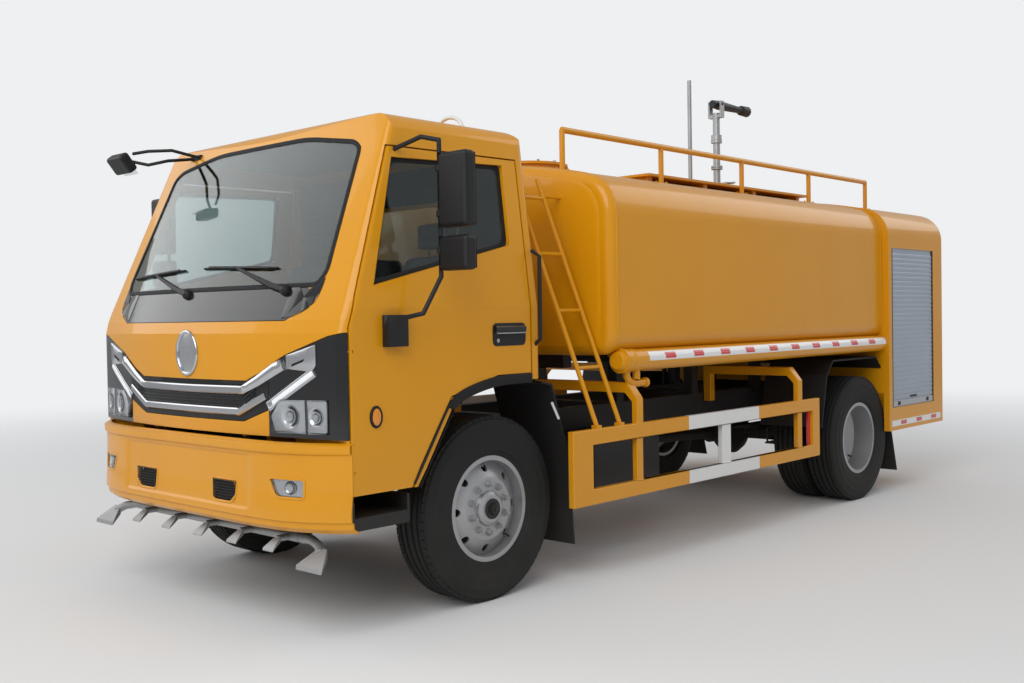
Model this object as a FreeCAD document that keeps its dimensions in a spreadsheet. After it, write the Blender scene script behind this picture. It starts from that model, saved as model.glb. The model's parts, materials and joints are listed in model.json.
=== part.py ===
import FreeCAD, Part
import math
import os
import re
import Sketcher
from FreeCAD import Vector, Rotation, Placement

# Water tanker truck, in millimetres.
# X points to the vehicle's left, Y to its rear and Z up from the ground.
# Shapes are drawn with Y = 0 at the front axle, and each finished piece is then
# moved by front_axle_y, so that the whole truck stands centred on the origin.

os.makedirs("parts", exist_ok=True)
doc = FreeCAD.newDocument("tanker")
sheet = doc.addObject("Spreadsheet::Sheet", "Sizes")
NODES = []


def sizes(table):
    """Enter named sizes in the sheet, one row each."""
    for name, number in table.items():
        row = sizes.row
        sheet.set("A%d" % row, name)
        sheet.set("B%d" % row, str(number))
        sheet.setAlias("B%d" % row, name)
        sizes.row = row + 1
    sheet.recompute()


sizes.row = 1


def val(name):
    """Read one size from the sheet."""
    return float(getattr(sheet, name))


def bound(text):
    """Turn size names into references to the sheet."""
    return re.sub(r"[A-Za-z_]\w*", lambda found: "Sizes." + found.group(0), str(text))


def place(item, x="0", y="0", z="0"):
    """Tie an object's position to the sheet."""
    for axis, text in (("x", x), ("y", y), ("z", z)):
        item.setExpression("Placement.Base." + axis, bound(text))
    return item


def box(name, x, y, z):
    """Box between the two ends given for each axis."""
    item = doc.addObject("Part::Box", name)
    for prop, ends in (("Length", x), ("Width", y), ("Height", z)):
        item.setExpression(prop, bound("(%s) - (%s)" % (ends[1], ends[0])))
    return place(item, x[0], y[0], z[0])


def rod(name, radius, start, length, axis):
    """Round bar that starts at a point and runs along X, Y or Z."""
    item = doc.addObject("Part::Cylinder", name)
    item.setExpression("Radius", bound(radius))
    item.setExpression("Height", bound(length))
    turns = {"X": Rotation(Vector(0, 1, 0), 90), "Y": Rotation(Vector(1, 0, 0), -90)}
    if axis in turns:
        item.Placement = Placement(Vector(0, 0, 0), turns[axis])
    return place(item, *start)


def join(name, items):
    """Fuse overlapping or touching solids."""
    item = doc.addObject("Part::MultiFuse", name)
    item.Shapes = items
    item.Refine = True
    return item


def overlap(name, items):
    """Keep what all the solids share."""
    item = doc.addObject("Part::MultiCommon", name)
    item.Shapes = items
    return item


def cut(name, base, tools):
    """Take the tools away from the base."""
    if len(tools) == 1:
        tool = tools[0]
    else:
        tool = doc.addObject("Part::MultiFuse", name + "_tools")
        tool.Shapes = tools
    item = doc.addObject("Part::Cut", name)
    item.Base = base
    item.Tool = tool
    return item


def group(name, items):
    """Keep like solids that don't touch together in one piece."""
    item = doc.addObject("Part::Compound", name)
    item.Links = items
    return item


def mirrored(name, item):
    """Copy a piece to the other side of the truck."""
    twin = doc.addObject("Part::Mirroring", name)
    twin.Source = item
    twin.Normal = Vector(1, 0, 0)
    return twin


def outline(body, name, plane, points, offset="0"):
    """Closed outline of straight lines, each corner tied to the sheet."""
    sketch = body.newObject("Sketcher::SketchObject", name)
    support = [part for part in body.Origin.OriginFeatures if part.Role == plane][0]
    sketch.AttachmentSupport = (support, [""])
    sketch.MapMode = "FlatFace"
    sketch.setExpression("AttachmentOffset.Base.z", bound(offset))
    count = len(points)
    ring = val("wheelbase") / 4
    for index in range(count):
        turn = 2 * math.pi * index / count
        after = 2 * math.pi * (index + 1) / count
        start = Vector(ring * math.cos(turn), ring * math.sin(turn), 0)
        end = Vector(ring * math.cos(after), ring * math.sin(after), 0)
        sketch.addGeometry(Part.LineSegment(start, end), False)
    for index in range(count):
        follow = (index + 1) % count
        sketch.addConstraint(Sketcher.Constraint("Coincident", index, 2, follow, 1))
    for index, (across, up) in enumerate(points):
        for kind, text in (("DistanceX", across), ("DistanceY", up)):
            number = sketch.addConstraint(Sketcher.Constraint(kind, -1, 1, index, 1, 100.0))
            sketch.setExpression("Constraints[%d]" % number, bound(text))
    return sketch


def prism(name, plane, points, low, high):
    """Straight-sided solid between two planes square to X, Y or Z."""
    body = doc.addObject("PartDesign::Body", name)
    offset = "0 - (%s)" % high if plane == "XZ_Plane" else low
    sketch = outline(body, name + "_outline", plane, points, offset)
    pad = body.newObject("PartDesign::Pad", name + "_pad")
    pad.Profile = sketch
    pad.setExpression("Length", bound("(%s) - (%s)" % (high, low)))
    return body


def turned(name, points):
    """Solid of revolution about X, from corners given as place and radius."""
    body = doc.addObject("PartDesign::Body", name)
    sketch = outline(body, name + "_outline", "XY_Plane", points)
    spin = body.newObject("PartDesign::Revolution", name + "_spin")
    spin.Profile = sketch
    spin.ReferenceAxis = (sketch, ["H_Axis"])
    spin.Angle = 360
    return body


def rounded(body, name, radius, pick):
    """Round the edges of a body that pick chooses."""
    doc.recompute([body])
    tip = body.Tip
    chosen = []
    for index, edge in enumerate(tip.Shape.Edges):
        if pick(edge):
            chosen.append("Edge%d" % (index + 1))
    fillet = body.newObject("PartDesign::Fillet", name)
    fillet.Base = (tip, chosen)
    fillet.setExpression("Radius", bound(radius))
    return body


def along(edge, axis):
    """Say whether a straight edge runs along an axis."""
    if edge.Curve.TypeId != "Part::GeomLine":
        return False
    return abs(abs(edge.Curve.Direction.dot(axis)) - 1) < 1e-6


def even(points):
    """Add the mirror image of a left half outline, running the other way."""
    other = [("0 - (%s)" % across, up) for across, up in reversed(points)]
    return points + other


def slanted(name, radius, start, end):
    """Round bar between two points worked out from the sheet."""
    item = doc.addObject("Part::Feature", name)
    item.Shape = Part.makeCylinder(radius, (end - start).Length, start, end - start)
    return item


def both_sides(name, item):
    """A left piece and its mirror image on the right."""
    return group(name, [item, mirrored(name + "_right_side", item)])


def node(label, item, x="0", y="front_axle_y", z="0"):
    """Name a finished piece and move it to its place on the truck."""
    if item.TypeId in ("Part::Box", "Part::Cylinder"):
        item = group(item.Name + "_piece", [item])
    item.Label = label
    place(item, x, y, z)
    NODES.append(item)
    return item


AXIS_X = Vector(1, 0, 0)
AXIS_Y = Vector(0, 1, 0)
AXIS_Z = Vector(0, 0, 1)

# Main sizes
sizes({
    "front_axle_y": -2150,
    "wheelbase": 3950,
    "wheel_height": 472,
    "front_track_half": 917,
    "rear_outer_track": 1035,
    "rear_inner_track": 765,
    "kingpin_track": 777,
})

# Sizes that several pieces share
sizes({
    "cut_past": 80,
    "bulge_inward": 20,
    "bulge_outward": 30,
    "tread_edge": 10,
    "arm_clear": 100,
    "beam_open": 150,
    "slot_half": 90,
    "bridge_half": 38,
    "case_half": 150,
    "case_flat": 40,
    "fuel_round": 60,
    "lid_arm_half": 60,
    "lid_arm_start": 150,
    "fork_in": 47,
    "fork_out": 62,
    "fork_half": 25,
    "nose_shelf": 140,
    "brow_reach": 230,
    "door_reach": 240,
    "door_skin": 24,
    "door_lining": 30,
    "tunnel_wall": 30,
    "engine_room": 62,
})

# Wheels and tyres
sizes({
    "tyre_radius": 472,
    "tyre_half": 118,
    "tyre_tread_half": 92,
    "tyre_shoulder": 452,
    "tyre_bulge_radius": 365,
    "tyre_flank": 300,
    "rim_half": 95,
    "rim_seat_half": 83,
    "rim_seat": 254,
    "rim_inner": 246,
    "rim_flange": 291,
    "disc_thick": 12,
    "disc_rim_x": 20,
    "disc_flat_radius": 160,
    "disc_flat_x": 73,
    "hub_bore": 35.05,
    "hub_radius": 92,
    "hub_cap_radius": 70,
    "hub_cap_x": 112,
    "hub_back": -55,
    "dish_rim_x": -60,
    "dish_flat_x": -135,
    "rear_hub_out": 70,
    "rear_hub_radius": 88,
    "drum_radius": 205,
    "drum_deep": 150,
    "hand_hole": 20,
    "hand_hole_circle": 205,
    "hand_holes": 8,
})


def tyre(name, centre="0"):
    """Tyre with straight-sided flanks, its middle plane at the given place."""
    c = "(%s)" % centre
    points = [
        (c + " - rim_seat_half", "rim_seat"),
        (c + " - rim_seat_half", "tyre_flank"),
        (c + " - tyre_half", "tyre_bulge_radius - bulge_inward"),
        (c + " - tyre_half", "tyre_bulge_radius + bulge_outward"),
        (c + " - tyre_half + tread_edge", "tyre_shoulder"),
        (c + " - tyre_tread_half", "tyre_radius"),
        (c + " + tyre_tread_half", "tyre_radius"),
        (c + " + tyre_half - tread_edge", "tyre_shoulder"),
        (c + " + tyre_half", "tyre_bulge_radius + bulge_outward"),
        (c + " + tyre_half", "tyre_bulge_radius - bulge_inward"),
        (c + " + rim_seat_half", "tyre_flank"),
        (c + " + rim_seat_half", "rim_seat"),
    ]
    return turned(name, points)


def pierced(body, name, x, depth):
    """Ring of round hand holes through a wheel disc."""
    holes = []
    for index in range(int(val("hand_holes"))):
        turn = 2 * math.pi * index / int(val("hand_holes"))
        hole = rod("%s_hole_%d" % (name, index), "hand_hole",
                   (x, "hand_hole_circle * %.6f" % math.cos(turn),
                    "hand_hole_circle * %.6f" % math.sin(turn)), depth, "X")
        holes.append(hole)
    return cut(name, body, holes)


def front_rim(name):
    """Front rim with its disc bulging outwards, its hub and its brake drum."""
    points = [
        ("0 - rim_half", "rim_inner"),
        ("0 - rim_half", "rim_flange"),
        ("0 - rim_seat_half", "rim_flange"),
        ("0 - rim_seat_half", "rim_seat"),
        ("rim_seat_half", "rim_seat"),
        ("rim_seat_half", "rim_flange"),
        ("rim_half", "rim_flange"),
        ("rim_half", "rim_inner"),
        ("disc_rim_x + disc_thick", "rim_inner"),
        ("disc_flat_x + disc_thick", "disc_flat_radius"),
        ("disc_flat_x + disc_thick", "hub_radius"),
        ("hub_cap_x - 12", "hub_radius - 6"),
        ("hub_cap_x", "hub_cap_radius"),
        ("hub_cap_x", "0"),
        ("hub_cap_x - 30", "0"),
        ("hub_cap_x - 30", "hub_bore"),
        ("hub_back", "hub_bore"),
        ("hub_back", "drum_radius"),
        ("hub_back + 60", "drum_radius"),
        ("hub_back + 70", "hub_radius"),
        ("disc_flat_x", "hub_radius"),
        ("disc_flat_x", "disc_flat_radius"),
        ("disc_rim_x", "rim_inner"),
    ]
    return pierced(turned(name + "_turned", points), name, "disc_rim_x - 20", "90")


def dished_rim(name, centre, sign):
    """Rear rim, its disc set towards the middle between the twin wheels."""
    c = "(%s)" % centre
    s = "(%d)" % sign
    points = [
        (c + " + %s * rim_half" % s, "rim_inner"),
        (c + " + %s * rim_half" % s, "rim_flange"),
        (c + " + %s * rim_seat_half" % s, "rim_flange"),
        (c + " + %s * rim_seat_half" % s, "rim_seat"),
        (c + " - %s * rim_seat_half" % s, "rim_seat"),
        (c + " - %s * rim_seat_half" % s, "rim_flange"),
        (c + " - %s * rim_half" % s, "rim_flange"),
        (c + " - %s * rim_half" % s, "rim_inner"),
        (c + " + %s * (dish_rim_x - disc_thick)" % s, "rim_inner"),
        (c + " + %s * dish_flat_x" % s, "disc_flat_radius - 6"),
        (c + " + %s * dish_flat_x" % s, "rear_hub_radius - 5"),
        (c + " + %s * (dish_flat_x + disc_thick)" % s, "rear_hub_radius - 5"),
        (c + " + %s * (dish_flat_x + disc_thick)" % s, "disc_flat_radius"),
        (c + " + %s * dish_rim_x" % s, "rim_inner"),
    ]
    return turned(name, points)


node("front_tyre_left", tyre("FrontTyreL"), "front_track_half", z="wheel_height")
node("front_rim_left", front_rim("FrontRimL"), "front_track_half", z="wheel_height")
right_tyre = mirrored("FrontTyreR", tyre("FrontTyreRSource"))
node("front_tyre_right", right_tyre, "0 - front_track_half", z="wheel_height")
right_rim = mirrored("FrontRimR", front_rim("FrontRimRSource"))
node("front_rim_right", right_rim, "0 - front_track_half", z="wheel_height")

# Twin rear wheels: each side's pair of rims, hub and drum turn together.
sizes({
    "rear_middle": 900,
})


def rear_hub(name):
    """Rear hub, open towards the axle for its spindle."""
    points = [
        ("rear_hub_out", "0"),
        ("rear_hub_out", "hub_cap_radius"),
        ("rear_hub_out - 20", "rear_hub_radius - 5"),
        ("0 - drum_deep", "rear_hub_radius - 5"),
        ("0 - drum_deep", "hub_bore"),
        ("rear_hub_out - 30", "hub_bore"),
        ("rear_hub_out - 30", "0"),
    ]
    drum = [
        ("0 - drum_deep", "rear_hub_radius - 5"),
        ("0 - drum_deep", "drum_radius"),
        ("0 - 60", "drum_radius"),
        ("0 - 60", "rear_hub_radius - 5"),
    ]
    return join(name, [turned(name + "_core", points), turned(name + "_drum", drum)])


def rear_rims(name):
    """Both dished rims of one side with their hub."""
    outer = dished_rim(name + "_outer", "rear_outer_track - rear_middle", 1)
    inner = dished_rim(name + "_inner", "rear_inner_track - rear_middle", -1)
    return join(name, [outer, inner, rear_hub(name + "_hub")])


def rear_tyres(name):
    """Both tyres of one side."""
    outer = tyre(name + "_outer", "rear_outer_track - rear_middle")
    inner = tyre(name + "_inner", "rear_inner_track - rear_middle")
    return group(name, [outer, inner])


node("rear_tyres_left", rear_tyres("RearTyresL"), "rear_middle",
     "front_axle_y + wheelbase", "wheel_height")
node("rear_rims_left", rear_rims("RearRimsL"), "rear_middle",
     "front_axle_y + wheelbase", "wheel_height")
node("rear_tyres_right", mirrored("RearTyresR", rear_tyres("RearTyresRSource")), "0 - rear_middle",
     "front_axle_y + wheelbase", "wheel_height")
node("rear_rims_right", mirrored("RearRimsR", rear_rims("RearRimsRSource")), "0 - rear_middle",
     "front_axle_y + wheelbase", "wheel_height")

# Chassis frame: two channel rails with their cross members
sizes({
    "rail_outer": 420,
    "rail_wide": 75,
    "rail_low": 640,
    "rail_high": 860,
    "rail_front": -930,
    "rail_rear": 5330,
    "rail_web": 10,
    "member_wide": 90,
    "member_a_y": -900,
    "member_b_y": 830,
    "member_c_y": 1900,
    "member_d_y": 3150,
    "member_e_y": 4500,
    "member_f_y": 5230,
    "bearer_wide": 80,
    "bearer_half": 620,
    "bearer_deep": 90,
    "bearer_a_y": 1060,
    "bearer_b_y": 1850,
    "bearer_c_y": 2750,
    "bearer_d_y": 3650,
    "bearer_e_y": 4200,
    "tank_low": 1220,
})
rails = []
for side, sign in (("L", ""), ("R", "0 - ")):
    if side == "L":
        outer, inner, hollow = "rail_outer", "rail_outer - rail_wide", "rail_outer - rail_web"
        rail = box("RailL", (inner, outer), ("rail_front", "rail_rear"), ("rail_low", "rail_high"))
        gap = box("RailLGap", (inner + " - 5", hollow), ("rail_front - 5", "rail_rear + 5"),
                  ("rail_low + rail_web", "rail_high - rail_web"))
    else:
        rail = box("RailR", ("0 - rail_outer", "rail_wide - rail_outer"),
                   ("rail_front", "rail_rear"), ("rail_low", "rail_high"))
        gap = box("RailRGap", ("rail_web - rail_outer", "rail_wide - rail_outer + 5"),
                  ("rail_front - 5", "rail_rear + 5"),
                  ("rail_low + rail_web", "rail_high - rail_web"))
    rails.append(cut("RailChannel" + side, rail, [gap]))
members = []
for letter in "abcdef":
    spot = "member_%s_y" % letter
    members.append(box("Member_" + letter, ("rail_web - rail_outer", "rail_outer - rail_web"),
                       (spot, spot + " + member_wide"), ("rail_low + rail_web", "rail_high - rail_web")))
sizes({
    "pivot_y": -1000,
    "pivot_z": 930,
    "pivot_radius": 20,
    "bracket_out": 390,
})
bracket = box("PivotBracket", ("rail_outer - rail_wide + 5", "bracket_out"),
              ("pivot_y - 5", "rail_front + 60"),
              ("rail_high - 55", "pivot_z + 25"))
pivot_pin = rod("PivotPin", "pivot_radius", ("bracket_out - 20", "pivot_y", "pivot_z"), "50", "X")
members += [bracket, pivot_pin, mirrored("PivotBracketR", bracket), mirrored("PivotPinR", pivot_pin)]
node("chassis_frame", join("Frame", rails + members))

# Bearers: each one carries the tank on two legs that stand on the rails
bearers = []
for letter in "abcde":
    spot = "bearer_%s_y" % letter
    ends = (spot, spot + " + bearer_wide")
    bearers.append(join("BearerWhole_" + letter, [
        box("Bearer_" + letter, ("0 - bearer_half", "bearer_half"), ends,
            ("tank_low - bearer_deep", "tank_low")),
        box("BearerLegL_" + letter, ("rail_outer - rail_wide", "rail_outer"), ends,
            ("rail_high", "tank_low - bearer_deep")),
        box("BearerLegR_" + letter, ("0 - rail_outer", "rail_wide - rail_outer"), ends,
            ("rail_high", "tank_low - bearer_deep"))]))
node("tank_bearers", group("Bearers", bearers))

# Axles, springs and steering knuckles
sizes({
    "beam_high": 90,
    "beam_wide": 80,
    "beam_drop": 50,
    "kingpin_radius": 20,
    "pin_play": 0.05,
    "knuckle_half_high": 75,
    "eye_radius": 42,
    "beam_eye_half": 35,
    "slot_clear": 26,
    "spindle_radius": 35,
    "spring_in": 385,
    "spring_wide": 70,
    "spring_high": 45,
    "leaf_thick": 15,
    "spring_reach": 620,
    "rear_spring_reach": 700,
    "tube_radius": 62,
    "seat_pad": 55,
    "diff_radius": 190,
    "diff_nose": 330,
    "diff_nose_radius": 75,
    "arm_back": 170,
    "ball_radius": 10,
    "ball_play": 1,
    "tie_eye": 17,
    "tie_bar": 12,
    "arm_drop": 70,
})


def spring_stack(name, middle, reach, low):
    """Leaf spring: a long leaf with shorter ones below, and its two hangers."""
    leaves = []
    for index in range(3):
        share = (1.0, 0.75, 0.5)[index]
        leaves.append(box("%s_leaf_%d" % (name, index), ("spring_in", "spring_in + spring_wide"),
                          ("%s - %s * %.2f" % (middle, reach, share),
                           "%s + %s * %.2f" % (middle, reach, share)),
                          ("%s + spring_high - %d * leaf_thick" % (low, index + 1),
                           "%s + spring_high - %d * leaf_thick" % (low, index))))
    for index, sign in enumerate(("-", "+")):
        leaves.append(box("%s_hanger_%d" % (name, index), ("spring_in + 5", "rail_outer"),
                          ("%s %s %s - 25" % (middle, sign, reach),
                           "%s %s %s + 25" % (middle, sign, reach)),
                          ("%s + spring_high - leaf_thick" % low, "rail_low")))
    return join(name, leaves)


front_stack = spring_stack("FrontSpring", "0", "spring_reach", "wheel_height - beam_drop + beam_high / 2")
rear_stack = spring_stack("RearSpring", "wheelbase", "rear_spring_reach", "wheel_height + tube_radius")
node("leaf_springs", group("Springs", [
    front_stack, mirrored("FrontSpringR", front_stack),
    rear_stack, mirrored("RearSpringR", rear_stack)]))

beam = box("Beam", ("0 - kingpin_track + 10", "kingpin_track - 10"), ("0 - beam_wide / 2", "beam_wide / 2"),
           ("wheel_height - beam_drop - beam_high / 2", "wheel_height - beam_drop + beam_high / 2"))
beam_parts = [beam]
beam_holes = []
for side, place_x in (("L", "kingpin_track"), ("R", "0 - kingpin_track")):
    beam_parts.append(rod("BeamEye" + side, "eye_radius",
                          (place_x, "0", "wheel_height - beam_eye_half"), "2 * beam_eye_half", "Z"))
    beam_holes.append(rod("BeamBore" + side, "kingpin_radius + pin_play",
                          (place_x, "0", "wheel_height - arm_clear"), "2 * arm_clear", "Z"))
beam_flat = join("BeamJoined", beam_parts)
beam_slots = []
for side, ends in (("L", ("kingpin_track - eye_radius - slot_clear", "kingpin_track + slot_half")),
                   ("R", ("0 - kingpin_track - slot_half", "0 - kingpin_track + eye_radius + slot_clear"))):
    for level, span in (("Low", ("wheel_height - beam_open", "wheel_height - beam_eye_half")),
                        ("High", ("wheel_height + beam_eye_half", "wheel_height + beam_open"))):
        beam_slots.append(box("BeamSlot" + side + level, ends, ("0 - slot_half", "slot_half"), span))
node("front_axle_beam", cut("FrontAxle", beam_flat, beam_slots + beam_holes))


def knuckle(name):
    """Fork, kingpin, spindle, brake plate and steering arm, drawn at the kingpin."""
    fork_low = rod(name + "_low", "eye_radius", ("0", "0", "0 - knuckle_half_high"),
                   "knuckle_half_high - beam_eye_half - 3", "Z")
    fork_high = rod(name + "_high", "eye_radius", ("0", "0", "beam_eye_half + 3"),
                    "knuckle_half_high - beam_eye_half - 3", "Z")
    pin = rod(name + "_pin", "kingpin_radius", ("0", "0", "0 - knuckle_half_high"),
              "2 * knuckle_half_high", "Z")
    web = box(name + "_web", ("eye_radius + 6", "eye_radius + 26"), ("0 - 40", "40"),
              ("0 - knuckle_half_high", "knuckle_half_high"))
    bridge_low = box(name + "_bridge_low", ("0", "eye_radius + 10"), ("0 - bridge_half", "bridge_half"),
                     ("0 - knuckle_half_high", "0 - beam_eye_half - 5"))
    bridge_high = box(name + "_bridge_high", ("0", "eye_radius + 10"), ("0 - bridge_half", "bridge_half"),
                      ("beam_eye_half + 5", "knuckle_half_high"))
    spindle = rod(name + "_spindle", "spindle_radius", ("eye_radius + 20", "0", "0"),
                  "front_track_half - kingpin_track - eye_radius + hub_cap_x - 60", "X")
    plate = rod(name + "_plate", "drum_radius - 20", ("eye_radius + 10", "0", "0"), "12", "X")
    arm = box(name + "_arm", ("0 - 25", "25"), ("0", "arm_back"),
              ("0 - knuckle_half_high", "0 - knuckle_half_high + 22"))
    arm_eye = rod(name + "_arm_eye", "25", ("0", "arm_back", "0 - knuckle_half_high"), "22", "Z")
    ball = rod(name + "_ball", "ball_radius", ("0", "arm_back", "0 - knuckle_half_high - 44"), "50", "Z")
    return join(name, [fork_low, fork_high, pin, web, bridge_low, bridge_high,
                       spindle, plate, arm, arm_eye, ball])


node("knuckle_left", knuckle("KnuckleL"), "kingpin_track", z="wheel_height")
node("knuckle_right", mirrored("KnuckleR", knuckle("KnuckleRSource")),
     "0 - kingpin_track", z="wheel_height")

tie_parts = [rod("TieBar", "tie_bar", ("0 - kingpin_track + tie_eye - 2", "arm_back",
                                      "wheel_height - knuckle_half_high - 24"),
                 "2 * (kingpin_track - tie_eye + 2)", "X")]
tie_holes = []
for side, place_x, play in (("L", "kingpin_track", "ball_radius + pin_play"),
                            ("R", "0 - kingpin_track", "ball_radius + ball_play")):
    tie_parts.append(rod("TieEye" + side, "tie_eye", (place_x, "arm_back",
                                                "wheel_height - knuckle_half_high - 38"), "28", "Z"))
    tie_holes.append(rod("TieHole" + side, play, (place_x, "arm_back",
                                                 "wheel_height - knuckle_half_high - 60"), "80", "Z"))
node("tie_rod", cut("TieRod", join("TieJoined", tie_parts), tie_holes))

rear_tube = rod("RearTube", "tube_radius", ("0 - rear_middle + drum_deep + 6", "wheelbase", "wheel_height"),
                "2 * (rear_middle - drum_deep - 6)", "X")
rear_spindle = rod("RearSpindle", "spindle_radius", ("0 - rear_middle - rear_hub_out + 40", "wheelbase",
                                                    "wheel_height"),
                   "2 * (rear_middle + rear_hub_out - 40)", "X")
diff = turned("DiffCase", [("0 - case_half", "0"), ("0 - case_half", "tube_radius"),
                           ("0 - 90", "diff_radius - case_flat"),
                           ("0 - case_flat", "diff_radius"), ("case_flat", "diff_radius"),
                           ("90", "diff_radius - case_flat"), ("case_half", "tube_radius"),
                           ("case_half", "0")])
place(diff, "0", "wheelbase", "wheel_height")
nose = rod("DiffNose", "diff_nose_radius", ("0", "wheelbase - diff_nose", "wheel_height"), "diff_nose", "Y")
rear_seat = box("SpringSeat", ("spring_in - 5", "spring_in + spring_wide + 5"),
                ("wheelbase - seat_pad", "wheelbase + seat_pad"),
                ("wheel_height", "wheel_height + tube_radius"))
node("rear_axle_housing", join("RearAxle", [rear_tube, rear_spindle, diff, nose, rear_seat,
                                            mirrored("SpringSeatR", rear_seat)]))

# Engine with its gearbox as one plain block, and the shaft to the rear axle
sizes({
    "engine_half": 300,
    "engine_front": -720,
    "engine_rear": 420,
    "engine_low": 520,
    "engine_high": 1060,
    "gearbox_half": 170,
    "gearbox_rear": 815,
    "gearbox_low": 535,
    "gearbox_high": 830,
    "mount_front": -420,
    "mount_rear": 180,
    "mount_wide": 60,
    "mount_low": 700,
    "mount_high": 740,
    "shaft_radius": 42,
    "shaft_z": 584,
    "flange_radius": 62,
    "flange_thick": 20,
})
node("engine_block", join("Engine", [
    box("EngineMass", ("0 - engine_half", "engine_half"), ("engine_front", "engine_rear"),
        ("engine_low", "engine_high")),
    box("GearboxMass", ("0 - gearbox_half", "gearbox_half"), ("engine_rear - 10", "gearbox_rear"),
        ("gearbox_low", "gearbox_high"))] + [
    box("EngineMount%d" % index, ("rail_web - rail_outer", "rail_outer - rail_web"),
        (spot, spot + " + mount_wide"),
        ("mount_low", "mount_high")) for index, spot in enumerate(("mount_front", "mount_rear"))]))
shaft_start = Vector(0, val("gearbox_rear") + val("flange_thick") / 2, val("shaft_z"))
shaft_end = Vector(0, val("wheelbase") - val("diff_nose") - val("flange_thick") / 2, val("wheel_height"))
node("propeller_shaft", join("Shaft", [
    rod("ShaftFlangeFront", "flange_radius", ("0", "gearbox_rear", "shaft_z"), "flange_thick", "Y"),
    rod("ShaftFlangeRear", "flange_radius", ("0", "wheelbase - diff_nose - flange_thick", "wheel_height"),
        "flange_thick", "Y"),
    slanted("ShaftTube", val("shaft_radius"), shaft_start, shaft_end)]))

# Fuel tank on the right rail and battery box on the left one
sizes({
    "fuel_front": 1150,
    "fuel_rear": 2050,
    "fuel_in": 430,
    "fuel_out": 960,
    "fuel_low": 330,
    "fuel_high": 780,
    "battery_front": 1000,
    "battery_rear": 1650,
})
fuel = prism("FuelShell", "XZ_Plane", [
    ("0 - fuel_out", "fuel_low + fuel_round"), ("0 - fuel_out + fuel_round", "fuel_low"),
    ("0 - fuel_in - fuel_round", "fuel_low"), ("0 - fuel_in", "fuel_low + fuel_round"),
    ("0 - fuel_in", "fuel_high - fuel_round"), ("0 - fuel_in - fuel_round", "fuel_high"),
    ("0 - fuel_out + fuel_round", "fuel_high"), ("0 - fuel_out", "fuel_high - fuel_round")],
    "fuel_front", "fuel_rear")
fuel_arm = box("FuelArm", ("0 - fuel_in - 10", "0 - rail_outer"), ("fuel_front + 100", "fuel_rear - 100"),
               ("rail_low + 10", "rail_high - 90"))
node("fuel_tank", join("FuelTank", [fuel, fuel_arm]))
battery = box("BatteryCase", ("fuel_in", "fuel_out - 60"), ("battery_front", "battery_rear"),
              ("fuel_low + 90", "fuel_high - fuel_round"))
battery_arm = box("BatteryArm", ("rail_outer", "fuel_in + 10"), ("battery_front + 60", "battery_rear - 60"),
                  ("rail_low + 10", "rail_low + 70"))
node("battery_box", join("Battery", [battery, battery_arm]))

# Water tank: rounded box section with a crowned top
sizes({
    "tank_half": 1150,
    "tank_shoulder": 2205,
    "tank_crown_mid": 2370,
    "tank_front": 860,
    "tank_rear": 4340,
    "tank_top_round": 240,
    "tank_low_round": 120,
    "tank_head_round": 55,
})


def crowned(name, half, low, shoulder, mid, front, rear):
    """Pad of a box section whose top is one flat arc."""
    body = doc.addObject("PartDesign::Body", name)
    sketch = body.newObject("Sketcher::SketchObject", name + "_section")
    support = [part for part in body.Origin.OriginFeatures if part.Role == "XZ_Plane"][0]
    sketch.AttachmentSupport = (support, [""])
    sketch.MapMode = "FlatFace"
    sketch.setExpression("AttachmentOffset.Base.z", bound("0 - (%s)" % rear))
    w, z0, z1, z2 = val(half), val(low), val(shoulder), val(mid)
    sketch.addGeometry(Part.LineSegment(Vector(-w, z1, 0), Vector(-w, z0, 0)), False)
    sketch.addGeometry(Part.LineSegment(Vector(-w, z0, 0), Vector(w, z0, 0)), False)
    sketch.addGeometry(Part.LineSegment(Vector(w, z0, 0), Vector(w, z1, 0)), False)
    sketch.addGeometry(Part.Arc(Vector(w, z1, 0), Vector(0, z2, 0), Vector(-w, z1, 0)), False)
    sketch.addConstraint(Sketcher.Constraint("Coincident", 0, 2, 1, 1))
    sketch.addConstraint(Sketcher.Constraint("Coincident", 1, 2, 2, 1))
    sketch.addConstraint(Sketcher.Constraint("Coincident", 2, 2, 3, 1))
    sketch.addConstraint(Sketcher.Constraint("Coincident", 3, 2, 0, 1))
    corners = ((0, 1, "0 - %s" % half, shoulder, -w, z1), (1, 1, "0 - %s" % half, low, -w, z0),
               (2, 1, half, low, w, z0), (2, 2, half, shoulder, w, z1))
    for line, end, across, up, x_now, z_now in corners:
        for kind, text, now in (("DistanceX", across, x_now), ("DistanceY", up, z_now)):
            number = sketch.addConstraint(Sketcher.Constraint(kind, -1, 1, line, end, now))
            sketch.setExpression("Constraints[%d]" % number, bound(text))
    rise = "(%s - %s)" % (mid, shoulder)
    radius_now = (w * w + (z2 - z1) ** 2) / (2 * (z2 - z1))
    number = sketch.addConstraint(Sketcher.Constraint("Radius", 3, radius_now))
    sketch.setExpression("Constraints[%d]" % number,
                         bound("(%s * %s + %s * %s) / (2 * %s)" % (half, half, rise, rise, rise)))
    pad = body.newObject("PartDesign::Pad", name + "_pad")
    pad.Profile = sketch
    pad.setExpression("Length", bound("(%s) - (%s)" % (rear, front)))
    return body


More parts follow.
